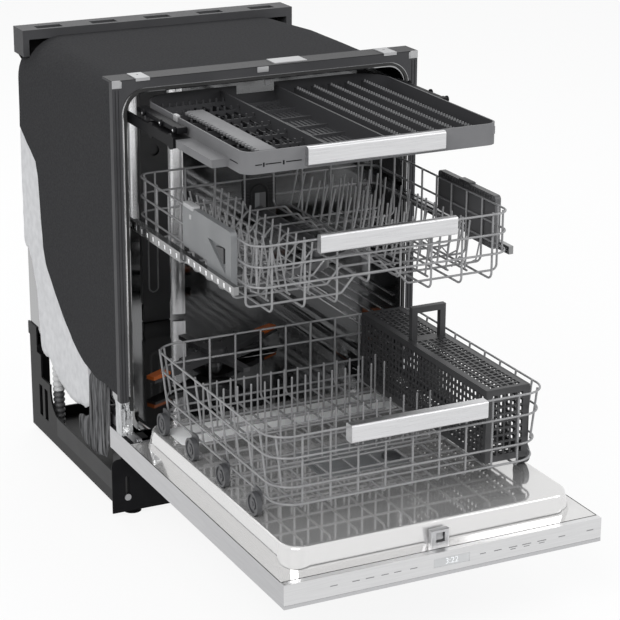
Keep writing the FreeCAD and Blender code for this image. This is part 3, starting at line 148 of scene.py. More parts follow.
def polished_metal(name, colour, low, high, wave=0.0, metallic=1.0):
    """A mirror finish whose roughness drifts, with a slow wave in the sheet where one is given."""
    material = new_finish(name, colour, low, metallic)
    roughness_between(material, pattern(material, 9, detail=4.0), low, high)
    if wave:
        raised(material, pattern(material, 5, detail=1.0), wave, 0.6)
    return material


def moulded_plastic(name, dark, light, low, high, grain=MOULD_SCALE, gloss=0.5):
    """Plastic or rubber with a faint cloud in its colour and a fine moulded grain."""
    material = new_finish(name, light, low)
    shader_of(material).inputs["Specular IOR Level"].default_value = gloss
    colour_between(material, pattern(material, 14, detail=3.0), dark, light)
    fine = pattern(material, grain, detail=2.0)
    roughness_between(material, fine, low, high)
    raised(material, fine, MOULD_DEPTH, 0.35)
    return material


def fibre_cloth(name, dark, light, scale, depth, stretch=(1, 1, 1)):
    """Matt cloth with fibres in its colour and its surface."""
    material = new_finish(name, light, 0.95)
    shader_of(material).inputs["Specular IOR Level"].default_value = CLOTH_GLOSS
    fibres = pattern(material, scale, stretch, 6.0)
    colour_between(material, fibres, dark, light, 0.32, 0.68)
    raised(material, fibres, depth, 0.8)
    return material


def second_tone_and_shade(material, other, *limits):
    """Changes a finish's colour where every limit holds, for a second tone and for painted shade: a
    direction, a comparison and a place along it.
    """
    tree = material.node_tree
    shader = shader_of(material)
    source = shader.inputs["Base Color"].links[0].from_socket
    place = tree.nodes.new("ShaderNodeTexCoord")
    holds = None
    for direction, comparison, limit in limits:
        along = tree.nodes.new("ShaderNodeVectorMath")
        along.operation = "DOT_PRODUCT"
        along.inputs[1].default_value = direction
        tree.links.new(place.outputs["Object"], along.inputs[0])
        test = reckon(tree, comparison, along.outputs["Value"], limit)
        holds = reckon(tree, "MULTIPLY", holds, test) if holds else test
    mix = tree.nodes.new("ShaderNodeMix")
    mix.data_type = "RGBA"
    mix.inputs["B"].default_value = (*other, 1)
    tree.links.new(holds, mix.inputs["Factor"])
    tree.links.new(source, mix.inputs["A"])
    tree.links.new(mix.outputs["Result"], shader.inputs["Base Color"])


# Directions for the brushing and for the limits of a second tone
BRUSHED_ACROSS = (0.02, 1, 1)
BRUSHED_DEEP = (1, 0.02, 1)
EVEN = (1, 1, 1)
ACROSS = (1, 0, 0)
DEEP = (0, 1, 0)
UPWARD = (0, 0, 1)
RIGHT_CORNER = (1, -1, 0)
LEFT_CORNER = (-1, -1, 0)

tub_steel = polished_metal("tub_steel", (0.35, 0.352, 0.355), 0.05, 0.10, 0.001)
liner_steel = polished_metal("liner_steel", (0.74, 0.735, 0.73), 0.05, 0.09, 0.0006, 0.72)
rail_steel = polished_metal("rail_steel", (0.27, 0.272, 0.275), 0.14, 0.22)
# Bright steel for real pins, and a painted highlight on the tub's beads and rim and on the rails' lances
pin_steel_and_highlight = polished_metal("pin_steel_and_highlight", (0.88, 0.88, 0.89), 0.14, 0.22)
foil = polished_metal("foil", (0.50, 0.51, 0.52), 0.14, 0.24)
panel_steel = brushed_metal("panel_steel", (0.65, 0.65, 0.655), (0.71, 0.71, 0.715), 0.28, 0.36,
                            BRUSHED_ACROSS)
side_steel = brushed_metal("side_steel", (0.48, 0.48, 0.49), (0.57, 0.57, 0.58), 0.34, 0.44, BRUSHED_DEEP)
handle_aluminium = brushed_metal("handle_aluminium", (0.62, 0.62, 0.63), (0.72, 0.72, 0.73), 0.26, 0.34,
                                 BRUSHED_ACROSS)
zinc = brushed_metal("zinc", (0.30, 0.30, 0.31), (0.42, 0.42, 0.43), 0.35, 0.5, EVEN)
frame_plastic_top_shaded = moulded_plastic("frame_plastic_top_shaded", (0.056, 0.056, 0.059), (0.068, 0.068, 0.071), 0.42, 0.55,
                                gloss=0.10)
base_plastic_foot_shaded = moulded_plastic("base_plastic_foot_shaded", (0.026, 0.026, 0.027), (0.036, 0.036, 0.037), 0.40, 0.54,
                               gloss=0.15)
black_plastic = moulded_plastic("black_plastic", (0.007, 0.007, 0.008), (0.011, 0.011, 0.012), 0.38, 0.52,
                                gloss=0.06)
# Black for the tray's slats and the strip's seam, and painted shade in the tray's slots
black_and_slot_shade = moulded_plastic("black_and_slot_shade", (0.006, 0.006, 0.007), (0.012, 0.012, 0.013), 0.4, 0.5, gloss=0.06)
# Dark plastic of the docking plate, also used for sheets of painted shade at the crossbar's ends
dock_plastic_and_shade = moulded_plastic("dock_plastic_and_shade", (0.014, 0.014, 0.015), (0.024, 0.024, 0.025), 0.4, 0.5,
                               gloss=0.2)
tray_plastic = moulded_plastic("tray_plastic", (0.15, 0.15, 0.155), (0.18, 0.18, 0.185), 0.45, 0.58,
                               gloss=0.15)
tray_light = moulded_plastic("tray_light", (0.16, 0.16, 0.165), (0.20, 0.20, 0.205), 0.45, 0.58, gloss=0.2)
basket_plastic = moulded_plastic("basket_plastic", (0.034, 0.034, 0.036), (0.044, 0.044, 0.046), 0.38, 0.5)
arm_plastic = moulded_plastic("arm_plastic", (0.045, 0.045, 0.048), (0.06, 0.06, 0.063), 0.30, 0.42)
adjuster_plastic = moulded_plastic("adjuster_plastic", (0.15, 0.155, 0.16), (0.19, 0.195, 0.20), 0.36, 0.48)
grey_plastic = moulded_plastic("grey_plastic", (0.17, 0.175, 0.18), (0.21, 0.215, 0.22), 0.36, 0.48)
# Light grey for real clips, and a painted highlight on the rib of the tub's water duct
clip_grey_and_highlight = moulded_plastic("clip_grey_and_highlight", (0.36, 0.36, 0.365), (0.44, 0.44, 0.445), 0.4, 0.5)
wheel_plastic = moulded_plastic("wheel_plastic", (0.055, 0.056, 0.06), (0.075, 0.076, 0.08), 0.35, 0.46)
tip_orange = moulded_plastic("tip_orange", (0.56, 0.125, 0.02), (0.66, 0.16, 0.03), 0.32, 0.42)
wire_coat = moulded_plastic("wire_coat", (0.20, 0.20, 0.205), (0.25, 0.25, 0.255), 0.20, 0.30, 900, 0.8)
hose_rubber = moulded_plastic("hose_rubber", (0.08, 0.08, 0.083), (0.12, 0.12, 0.123), 0.45, 0.6, 600)
gasket_rubber = moulded_plastic("gasket_rubber", (0.012, 0.012, 0.012), (0.02, 0.02, 0.02), 0.6, 0.75)
# Painted reflection: a near-white satin finish for the patch at the pan's rear that stands in for a bright
# reflection
reflection_satin = moulded_plastic("reflection_satin", (0.88, 0.88, 0.885), (0.93, 0.93, 0.935), 0.26, 0.36)
display_glass = moulded_plastic("display_glass", (0.52, 0.525, 0.53), (0.58, 0.585, 0.59), 0.10, 0.16, 400)
mark_grey = moulded_plastic("mark_grey", (0.16, 0.16, 0.165), (0.22, 0.22, 0.225), 0.4, 0.5)
mark_white = moulded_plastic("mark_white", (0.90, 0.92, 0.94), (0.97, 0.98, 1.0), 0.35, 0.45)
felt = fibre_cloth("felt", (0.036, 0.036, 0.038), (0.050, 0.050, 0.052), 260, 0.0005)
batting = fibre_cloth("batting", (0.62, 0.62, 0.63), (0.72, 0.72, 0.73), 60, 0.0012)
wool = fibre_cloth("wool", (0.010, 0.010, 0.010), (0.20, 0.20, 0.205), 120, 0.003, (1, 1, 0.10))

# Second tones and painted shade, with limits in metres
FRAME_TOP = 0.8415
FRAME_REAR = 0.1
TRAY_SIDE = 0.2322
TRAY_FRONT = -0.3475
TRAY_CORNER = 0.5633
RUNNER_FACE = 0.2352
RUNNER_FRONT = -0.145
RUNNER_BLACK = (0.010, 0.010, 0.011)
HOSE_CUFF = 0.117
BASE_SHADE_LINE = 0.034
BASE_REAR = 0.462
BASE_FRONT = 0.13
BASE_BLACK_AND_SHADE = (0.006, 0.006, 0.0065)

# Painted shade: the front frame's top face is darkened so that it reads no lighter than its front under the
# lamps above
second_tone_and_shade(frame_plastic_top_shaded, (0.034, 0.034, 0.036),
          (UPWARD, "GREATER_THAN", FRAME_TOP), (DEEP, "LESS_THAN", FRAME_REAR))
second_tone_and_shade(tray_plastic, (0.050, 0.050, 0.053),
          (ACROSS, "LESS_THAN", TRAY_SIDE), (ACROSS, "GREATER_THAN", -TRAY_SIDE),
          (DEEP, "GREATER_THAN", TRAY_FRONT),
          (RIGHT_CORNER, "LESS_THAN", TRAY_CORNER), (LEFT_CORNER, "LESS_THAN", TRAY_CORNER))
for limit in ((ACROSS, "LESS_THAN", -RUNNER_FACE), (ACROSS, "GREATER_THAN", RUNNER_FACE)):
    second_tone_and_shade(tray_plastic, RUNNER_BLACK, limit, (DEEP, "GREATER_THAN", RUNNER_FRONT))
second_tone_and_shade(adjuster_plastic, (0.085, 0.085, 0.088), (ACROSS, "GREATER_THAN", 0.0))
second_tone_and_shade(hose_rubber, (0.58, 0.58, 0.585), (UPWARD, "GREATER_THAN", HOSE_CUFF))
# Painted shade: the base is drawn black along its bottom band for the shade beneath it, and the same black
# covers its front and rear ends
for limit in ((UPWARD, "LESS_THAN", BASE_SHADE_LINE), (DEEP, "GREATER_THAN", BASE_REAR),
              (DEEP, "LESS_THAN", BASE_FRONT)):
    second_tone_and_shade(base_plastic_foot_shaded, BASE_BLACK_AND_SHADE, limit)

finishes = {
    tub_steel: ["tub_shell", "fine_filter"],
    liner_steel: ["door_liner"],
    panel_steel: ["control_strip"],
    side_steel: ["door_outer_panel", "door_latch"],
    rail_steel: ["fixed_rails", "upper_rails_mid", "upper_rails_inner"],
    handle_aluminium: ["lower_rack_handle", "upper_rack_handle", "third_rack_handle"],
    zinc: ["hinge_brackets", "hinge_arms", "hinge_pins", "toe_kick_screws", "latch_strike"],
    frame_plastic_top_shaded: ["front_frame", "rear_crossbar"],
    base_plastic_foot_shaded: ["base_frame"],
    black_plastic: ["toe_kick", "levelling_feet", "wash_pump", "drain_pump", "inlet_valve",
                    "third_rails_mid"],
    tray_plastic: ["third_tray"],
    basket_plastic: ["cutlery_basket", "basket_lid_front", "basket_lid_rear", "adjuster_levers"],
    arm_plastic: ["lower_spray_arm", "upper_spray_arm", "upper_feed_tube", "rear_manifold",
                  "twist_filter", "sump"],
    adjuster_plastic: ["height_adjusters"],
    clip_grey_and_highlight: ["mounting_brackets", "latch_pawl"],
    grey_plastic: ["dispenser_body", "dispenser_lid", "junction_box"],
    wheel_plastic: ["lower_wheels_1", "lower_wheels_2", "lower_wheels_3", "lower_wheels_4", "wheel_carriers",
                    "rinse_cap"],
    tip_orange: ["spray_arm_tips"],
    wire_coat: ["lower_rack_wire", "upper_rack_wire", "lower_tines_rear", "lower_tines_front"],
    gasket_rubber: ["tub_gasket"],
    display_glass: ["display_window"],
}
for material, names in finishes.items():
    for name in names:
        mesh = nodes[name].data
        mesh.materials.clear()
        mesh.materials.append(material)


# Tools for shaping pieces


def fresh():
    """Clears the selection."""
    for other in bpy.context.selected_objects:
        other.select_set(False)


def only(piece):
    """Selects one piece and makes it active."""
    fresh()
    piece.select_set(True)
    bpy.context.view_layer.objects.active = piece


def shaped(name, places, faces):
    """A new piece from places in millimetres and faces between them."""
    mesh = bpy.data.meshes.new(name)
    mesh.from_pydata([in_frame(*place) for place in places], [], faces)
    piece = bpy.data.objects.new(name, mesh)
    bpy.context.scene.collection.objects.link(piece)
    return piece


def surface(name, rows, finish, closed=False):
    """A surface through rows of points, joined from the last row to the first where it is closed."""
    wide = len(rows[0])
    faces = []
    for i in range(len(rows) if closed else len(rows) - 1):
        here = i * wide
        beyond = (i + 1) % len(rows) * wide
        faces += [(here + j, here + j + 1, beyond + j + 1, beyond + j) for j in range(wide - 1)]
    piece = shaped(name, [point for row in rows for point in row], faces)
    piece.data.materials.append(finish)
    return piece


def thicken(piece, thickness):
    """Gives a surface a wall, half of it to each side."""
    wall = piece.modifiers.new("wall", "SOLIDIFY")
    wall.thickness = thickness
    wall.offset = 0.0
    only(piece)
    bpy.ops.object.modifier_apply(modifier=wall.name)


def smooth(piece, angle=40):
    """Shades a piece smooth, apart from edges sharper than an angle in degrees."""
    only(piece)
    bpy.ops.object.shade_smooth_by_angle(angle=math.radians(angle))


WELD = 0.00001


def outward(piece):
    """Welds doubled points and turns every face outward."""
    only(piece)
    bpy.ops.object.mode_set(mode="EDIT")
    bpy.ops.mesh.select_all(action="SELECT")
    bpy.ops.mesh.remove_doubles(threshold=WELD)
    bpy.ops.mesh.normals_make_consistent(inside=False)
    bpy.ops.object.mode_set(mode="OBJECT")


def close_ends(piece):
    """Fills the open ends of a padded piece and turns its faces outward."""
    only(piece)
    bpy.ops.object.mode_set(mode="EDIT")
    bpy.ops.mesh.select_all(action="SELECT")
    bpy.ops.mesh.remove_doubles(threshold=WELD)
    bpy.ops.mesh.select_all(action="DESELECT")
    bpy.ops.mesh.select_mode(type="EDGE")
    bpy.ops.mesh.select_non_manifold(extend=False, use_wire=False, use_multi_face=False,
                                     use_non_contiguous=False, use_verts=False)
    bpy.ops.mesh.edge_face_add()
    bpy.ops.object.mode_set(mode="OBJECT")
    outward(piece)


def soften(edge):
    """Rounds all edges of the active piece, by millimetres."""
    bpy.ops.object.mode_set(mode="EDIT")
    bpy.ops.mesh.select_all(action="SELECT")
    bpy.ops.mesh.bevel(offset=edge / 1000, segments=2, affect="EDGES")
    bpy.ops.object.mode_set(mode="OBJECT")


def pick_top(piece):
    """Starts editing the active piece with only its top face selected."""
    bpy.ops.object.mode_set(mode="EDIT")
    bpy.ops.mesh.select_all(action="DESELECT")
    shape = bmesh.from_edit_mesh(piece.data)
    for face in shape.faces:
        face.select_set(face.normal.z > 0.9)
    shape.select_flush_mode()
    bmesh.update_edit_mesh(piece.data)


def block(low, high, edge=0.0):
    """A block between two corners in millimetres, with its edges softened where an edge is given."""
    fresh()
    middle = [(a + b) / 2 for a, b in zip(low, high)]
    bpy.ops.mesh.primitive_cube_add(size=1, location=in_frame(*middle))
    piece = bpy.context.object
    piece.scale = [(b - a) / 1000 for a, b in zip(low, high)]
    bpy.ops.object.transform_apply(location=True, rotation=True, scale=True)
    if edge:
        soften(edge)
    return piece


def peg(low, high):
    """A small tooth that narrows towards its top."""
    piece = block(low, high)
    pick_top(piece)
    bpy.ops.transform.resize(value=(0.6, 0.5, 1))
    bpy.ops.object.mode_set(mode="OBJECT")
    return piece


def bar(points, radius):
    """A round wire along points in millimetres, made a mesh."""
    fresh()
    line = bpy.data.curves.new("wire_line", "CURVE")
    line.dimensions = "3D"
    line.bevel_depth = radius / 1000
    line.bevel_resolution = 1
    line.use_fill_caps = True
    spline = line.splines.new("POLY")
    spline.points.add(len(points) - 1)
    for point, place in zip(spline.points, points):
        point.co = (*in_frame(*place), 1)
    piece = bpy.data.objects.new("wire_line", line)
    bpy.context.scene.collection.objects.link(piece)
    only(piece)
    bpy.ops.object.convert(target="MESH")
    return bpy.context.object


def profiled(outline, low, high):
    """An upright bar with the given outline between two heights, in millimetres."""
    count = len(outline)
    places = [(x, y, z) for z in (low, high) for x, y in outline]
    sides = [(i, (i + 1) % count, (i + 1) % count + count, i + count) for i in range(count)]
    ends = [tuple(range(count))[::-1], tuple(range(count, 2 * count))]
    piece = shaped("profile", places, sides + ends)
    outward(piece)
    return piece


def copied(piece, x=0.0, y=0.0, z=0.0):
    """A copy with its own mesh, moved by millimetres."""
    twin = bpy.data.objects.new(piece.name, piece.data.copy())
    bpy.context.scene.collection.objects.link(twin)
    twin.data.transform(Matrix.Translation((x / 1000, y / 1000, z / 1000)))
    return twin


def row_of(model, count, step):
    """Copies of a model along the depth; the model itself goes."""
    parts = [copied(model, 0, step * i) for i in range(count)]
    bpy.data.objects.remove(model)
    return parts


def finished(name, parts, finish, body, angle=40):
    """Joins parts into one named piece that rides on a body."""
    only(parts[0])
    for part in parts[1:]:
        part.select_set(True)
    if len(parts) > 1:
        bpy.ops.object.join()
    piece = bpy.context.object
    piece.name = name
    piece.data.name = name
    piece.data.materials.clear()
    piece.data.materials.append(finish)
    smooth(piece, angle)
    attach(piece, body)


# Soft goods


def between(points, at):
    """The value at a place between listed points."""
    for (a, low), (b, high) in zip(points, points[1:]):
        if at <= b:
            share = max(0.0, (at - a) / (b - a))
            return low + (high - low) * share
    return points[-1][1]


def ripple(x, y, z, size, seed):
    """A smooth unevenness of about the given size in millimetres."""
    return noise.noise(Vector((x / size + seed, y / size, z / size)))


def crown(edge):
    """A rounded rise from 0 at the hem to 1 where the padding is full."""
    return math.sqrt(max(0.0, 1 - (1 - edge) ** 2))


# The hem's height at places along the depth, and the depths of the blanket's rows
FELT_HEM = [(14, 250), (112, 251), (154, 246), (216, 257), (278, 281), (329, 321), (371, 353), (412, 392),
            (428, 425), (434, 470), (438, 520), (442, 565), (452, 592), (503, 617), (540, 642)]
FELT_ROWS = [14.8 + 8 * i for i in range(52)] + [428, 431, 434, 438, 442, 447, 452, 460, 470, 480, 490,
                                                499.3, 507, 515, 523, 531, 540]
FELT_SIDE = 283.4
FELT_TOP = 821.6
FELT_CORNER = 46.4
FELT_CORNER_GROWTH = 40
FELT_GROWS_FROM = 350
FELT_THICKNESS = 0.0032
TUB_REAR = 558
CROSSBAR_FRONT = 499.5
CROSSBAR_FOOT = 785.5


def felt_corner(y):
    """The radius of the blanket's top corners, which are fuller towards the rear."""
    return FELT_CORNER + FELT_CORNER_GROWTH * max(0.0, (y - FELT_GROWS_FROM) / (TUB_REAR - FELT_GROWS_FROM))


def felt_outline(hem, start, radius):
    """One row across the blanket: up the left side, round the corner, over the top and down the right."""
    side_steps, corner_steps, top_steps = 26, 12, 14
    left = [(-FELT_SIDE, hem + (start - hem) * i / side_steps) for i in range(side_steps + 1)]
    for i in range(1, corner_steps):
        turn = math.pi / 2 * i / corner_steps
        left.append((-FELT_SIDE + radius * (1 - math.cos(turn)), start + radius * math.sin(turn)))
    left += [((-FELT_SIDE + radius) * (1 - i / top_steps), FELT_TOP) for i in range(top_steps + 1)]
    return left + [(-x, z) for x, z in reversed(left[:-1])]


def felt_blanket():
    """The sound blanket that lies over the tub and hangs down both sides."""
    rows = []
    for y in FELT_ROWS:
        hem = between(FELT_HEM, y)
        radius = felt_corner(y)
        start = FELT_TOP - radius
        row = []
        for x, z in felt_outline(hem, start, radius):
            swell = 0.6 + 0.9 * ripple(x, y, z, 150, 3) + 0.5 * ripple(x, y, z, 55, 9)
            near_hem = max(0.0, 1 - (z - hem) / 45)
            swell = max(0.0, swell) + 1.6 * near_hem * max(0.0, ripple(0, y, z, 60, 5) + 0.3)
            flat = x / FELT_SIDE
            rise = max(0.0, (z - start) / radius)
            row.append((x + swell * flat, y, z + 0.4 * swell * rise))
        rows.append(row)
    piece = surface("sound_blanket", rows, felt)
    _, rear, foot = in_frame(0, CROSSBAR_FRONT, CROSSBAR_FOOT)
    shape = bmesh.new()
    shape.from_mesh(piece.data)
    covered = [f for f in shape.faces
               if f.calc_center_median().y > rear and max(v.co.z for v in f.verts) > foot]
    bmesh.ops.delete(shape, geom=covered, context="FACES")
    shape.to_mesh(piece.data)
    shape.free()
    outward(piece)
    thicken(piece, FELT_THICKNESS)
    smooth(piece, 60)
    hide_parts("insulation_blanket")
    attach(piece, "cabinet")
    return piece


# The hem's height by the walk round the tub: depths along a side, then the rear corner and the rear
BATTING_HEM = [(214, 190), (222, 166), (248, 152), (296, 145), (354, 148), (401, 166), (443, 186), (480, 189),
               (492, 300), (520, 360), (540, 388), (900, 392)]
BATTING_FRONT = 214
BATTING_TURN = 540
BATTING_TOP = 638.0
BATTING_IN = 274.0
BATTING_REAR = 560.2
BATTING_CORNER = 12.0
ROUND_THE_CORNER = 560
ALONG_THE_REAR = 700


def batting_walk():
    """Places round the tub: x, the way the surface faces, y, and how far the walk has come."""
    side_steps, corner_steps, rear_steps = 54, 6, 60
    side = []
    for i in range(side_steps + 1):
        y = BATTING_FRONT + (BATTING_TURN - BATTING_FRONT) * i / side_steps
        side.append((-BATTING_IN, 0, y, y))
    for i in range(1, corner_steps + 1):
        turn = math.pi / 2 * i / corner_steps
        side.append((-BATTING_IN + BATTING_CORNER * (1 - math.cos(turn)), turn,
                     BATTING_REAR - BATTING_CORNER + BATTING_CORNER * math.sin(turn), ROUND_THE_CORNER + i))
    half = BATTING_IN - BATTING_CORNER
    rear = [(-half + 2 * half * i / rear_steps, math.pi / 2, BATTING_REAR, ALONG_THE_REAR)
            for i in range(1, rear_steps)]
    return side + rear + [(-x, math.pi - turn, y, along) for x, turn, y, along in reversed(side)]


def fibre_batting():
    """The white batting round the tub's sides and rear."""
    steps = 48
    rows = []
    for x, turn, y, along in batting_walk():
        hem = between(BATTING_HEM, along)
        hem += 3.5 * ripple(x, y, 0, 26, 2) + 2.0 * ripple(x, y, 0, 9, 4)
        full = 5.0 if along < ROUND_THE_CORNER else 7.5
        out_x, out_y = -math.cos(turn), math.sin(turn)
        row = []
        for i in range(steps + 1):
            z = hem + (BATTING_TOP - hem) * i / steps
            edge = min(1.0, (z - hem) / 26, (BATTING_TOP - z) / 20 + 0.15)
            fold = 1.1 * ripple(x, y, z * 0.35, 42, 7) + 0.7 * ripple(x, y, z, 17, 8)
            thick = 0.8 + crown(edge) * (full + min(1.2, fold))
            row.append((x + out_x * thick, y + out_y * thick, z))
        back = [(x + out_x * 0.1, y + out_y * 0.1, z) for _, _, z in row]
        rows.append(row + back[::-1] + row[:1])
    piece = surface("fibre_batting", rows, batting)
    close_ends(piece)
    smooth(piece, 70)
    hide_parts("side_batting")
    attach(piece, "cabinet")


# The upper and lower edge of the pads at places along the depth
PAD_TOP = [(116, 240), (128, 246), (180, 247), (205, 243), (213, 234), (217, 146), (240, 138), (280, 130)]
PAD_FOOT = [(116, 128), (126, 120), (140, 92), (181, 80), (210, 78), (260, 82), (280, 100)]
PAD_FRONT = 117
PAD_REAR = 279
PAD_FACE = 274.6
PAD_BACK = 274.3


def wool_pads():
    """The grey wool pads low at the front of both sides."""
    deep_steps, high_steps = 64, 56
    for side, name in ((-1, "wool_pad_left"), (1, "wool_pad_right")):
        rows = []
        for i in range(deep_steps + 1):
            y = PAD_FRONT + (PAD_REAR - PAD_FRONT) * i / deep_steps
            top = between(PAD_TOP, y) + 5 * ripple(y, 0, 0, 7, 1)
            foot = between(PAD_FOOT, y) + 6 * ripple(y, 0, 0, 8, 6)
            row = []
            for j in range(high_steps + 1):
                z = foot + (top - foot) * j / high_steps
                from_ends = min(y - PAD_FRONT, PAD_REAR - y) + 2
                edge = min(1.0, (z - foot) / 14, (top - z) / 12, from_ends / 10)
                locks = 1.2 * ripple(0, y, z * 0.16, 5.0, 3) + 0.9 * ripple(0, y, z * 0.2, 2.6, 5)
                row.append((side * (PAD_FACE + crown(max(0.0, edge)) * (4.6 + locks)), y, z))
            back = [(side * PAD_BACK, y, z) for _, _, z in row]
            rows.append(row + back[::-1] + row[:1])
        piece = surface(name, rows, wool)
        close_ends(piece)
        smooth(piece, 70)
        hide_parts("fibre_pads")
        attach(piece, "cabinet")


HOSE_RIBS = 16
HOSE_SIDES = 40
RIB_STEPS = 8
RIB_DEPTH = 0.0011
HOSE_WALL = 0.004


def ribbed_hose():
    """The vent hose with rounded ribs."""
    low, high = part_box("vent_hose")
    middle = (low + high) / 2
    radius = (high.x - low.x) / 2
    steps = HOSE_RIBS * RIB_STEPS
    points = []
    for i in range(steps + 1):
        z = low.z + (high.z - low.z) * i / steps
        wave = math.sin(2 * math.pi * i / RIB_STEPS - 1.2)
        points.append((radius - RIB_DEPTH + RIB_DEPTH * max(-0.9, min(0.9, 1.6 * wave)), z))
    bore = radius - HOSE_WALL
    points += [(bore, high.z), (bore, low.z), points[0]]
    rows = []
    for k in range(HOSE_SIDES):
        turn = 2 * math.pi * k / HOSE_SIDES
        row = []
        for reach, z in points:
            x = middle.x + reach * math.cos(turn)
            y = middle.y + reach * math.sin(turn) - FRONT_PLANE
            row.append((x * 1000, y * 1000, z * 1000))
        rows.append(row)
    piece = surface("ribbed_hose", rows, hose_rubber, True)
    outward(piece)
    smooth(piece, 60)
    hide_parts("vent_hose")
    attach(piece, "cabinet")


blanket = felt_blanket()
fibre_batting()
wool_pads()
ribbed_hose()


# Small hard pieces


TINE_RADIUS = 1.7
ROD_RADIUS = 1.9
REST_RADIUS = 1.5
LEFT_REST = [(-225, 600), (-214, 566), (-196, 558), (-180, 572), (-168, 560)]
RIGHT_REST = [(216, 600), (208, 562), (190, 556), (176, 572), (160, 556)]


def tine(height):
    """One upright wire with a rounded tip, standing at the middle of the front plane."""
    fresh()
    bpy.ops.mesh.primitive_cylinder_add(vertices=8, radius=TINE_RADIUS / 1000, depth=height / 1000,
                                        location=in_frame(0, 0, height / 2))
    piece = bpy.context.object
    bpy.ops.object.transform_apply(location=True, rotation=True, scale=True)
    pick_top(piece)
    bpy.ops.mesh.extrude_region_move(TRANSFORM_OT_translate={"value": (0, 0, 0.8 * TINE_RADIUS / 1000)})
    bpy.ops.transform.resize(value=(0.55, 0.55, 1))
    bpy.ops.object.mode_set(mode="OBJECT")
    return piece


def tines(name, height, places, body, lean=0.0):
    """A row of tines that lean sideways by a share of their height."""
    model = tine(height)
    model.data.transform(Matrix(((1, 0, lean, 0), (0, 1, 0, 0), (0, 0, 1, 0), (0, 0, 0, 1))))
    parts = [copied(model, *place) for place in places]
    bpy.data.objects.remove(model)
    finished(name, parts, wire_coat, body, 60)


def rack_tines():
    """The fixed tines of both wire racks, their rods, and the glass rests of the upper one."""
    tines("lower_tines_middle", 92, [(-202 + 26 * i, -240, 254) for i in range(13)], "lower_rack")
    rod = bar([(-206, -240, 257), (114, -240, 257)], ROD_RADIUS)
    finished("lower_tine_rod", [rod], wire_coat, "lower_rack")
    for name, height, x, z, lean in (("upper_tines_left", 84, -154, 556, -0.20),
                                     ("upper_tines_centre", 66, 40, 581, 0.22),
                                     ("upper_tines_right", 70, 142, 556, 0.12)):
        tines(name, height, [(x, -392 + 30 * i, z) for i in range(14)], "upper_rack", lean)
    rods = [bar([(x, -400, z), (x, 6, z)], ROD_RADIUS) for x, z in ((-154, 558), (40, 582), (142, 558))]
    finished("upper_tine_rods", rods, wire_coat, "upper_rack")
    rests = []
    for i in range(5):
        y = -380 + 62 * i
        rests += [bar([(x, y, z) for x, z in rest], REST_RADIUS) for rest in (LEFT_REST, RIGHT_REST)]
    finished("upper_glass_rests", rests, wire_coat, "upper_rack")


STRIP_FRONT = -668.0
MARK_PLACES = (-206, -167, -142, -115, -92, -63, 65, 93, 122, 148, 177, 216, 271)
MARK_LENGTHS = {-142: 15, 65: 11, 93: 14, 122: 16, 148: 17, 177: 17}
MARK_LENGTH = 13
SECOND_LINES = (122, 148, 177)
UPPER_LINE = (163.2, 164.8)
LOWER_LINE = (159.6, 161.0)
NUMBER_SIZE = 0.0145
NUMBER_DEPTH = 0.00012


def dash(x, half, foot, top):
    """A thin raised dash on the front of the control strip."""
    return block((x - half, STRIP_FRONT - 0.12, foot), (x + half, STRIP_FRONT + 0.2, top), 0.05)


def strip_marks():
    """Plain dashes beside the display, and a number on it."""
    marks = []
    for x in MARK_PLACES:
        half = MARK_LENGTHS.get(x, MARK_LENGTH) / 2
        marks.append(dash(x, half, *UPPER_LINE))
        if x in SECOND_LINES:
            marks.append(dash(x, half - 3, *LOWER_LINE))
    finished("touch_marks", marks, mark_grey, "door", 30)
    fresh()
    bpy.ops.object.text_add(location=(0, 0, 0))
    number = bpy.context.object
    number.data.body = "3:22"
    number.data.size = NUMBER_SIZE
    number.data.extrude = NUMBER_DEPTH
    number.data.align_x = "CENTER"
    number.data.align_y = "CENTER"
    bpy.ops.object.convert(target="MESH")
    digits = bpy.context.object
    digits.data.transform(Matrix.Translation(in_frame(7, STRIP_FRONT - 0.05, 164))
                          @ Matrix.Rotation(math.radians(90), 4, "X"))
    finished("display_number", [digits], mark_white, "door", 30)


FOIL_SIDE = 298.2
FOIL_TOP = 251.0
FOIL_HEIGHT = 63.0
FOIL_WIDTH = 22
FOIL_REAR = 25.6
FOIL_FRONT = -0.2
FOIL_BEND = 0.45
FOIL_THICKNESS = 0.0003


def foil_gussets():
    """Crinkled foil folded round the corner below each frame strip."""
    wide_steps, high_steps = 28, 32
    for side, name in ((-1, "foil_left"), (1, "foil_right")):
        rows = []
        for i in range(wide_steps + 1):
            share = i / wide_steps
            row = []
            for j in range(high_steps + 1):
                z = FOIL_TOP - FOIL_HEIGHT * j / high_steps
                if share < FOIL_BEND:
                    x, y = FOIL_SIDE, FOIL_REAR - (FOIL_REAR - FOIL_FRONT) * share / FOIL_BEND
                else:
                    x, y = FOIL_SIDE - FOIL_WIDTH * (share - FOIL_BEND) / (1 - FOIL_BEND), FOIL_FRONT
                fold = 2.4 * ripple(x, y * 1.6, z * 0.16, 6, 4) + 1.2 * ripple(x, y, z * 0.3, 3.2, 8)
                front = -max(-0.4, fold) if share >= FOIL_BEND else 0.0
                row.append((side * (x + 0.6 * math.tanh(fold)), y + front, z))
            rows.append(row)
        piece = surface(name, rows, foil)
        outward(piece)
        thicken(piece, FOIL_THICKNESS)
        smooth(piece, 25)
        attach(piece, "cabinet")


LANCE_LENGTH = 7
LANCE_RISE = 0.5
LANCE_FOOT = 577.5
LANCE_TOP = 585.5


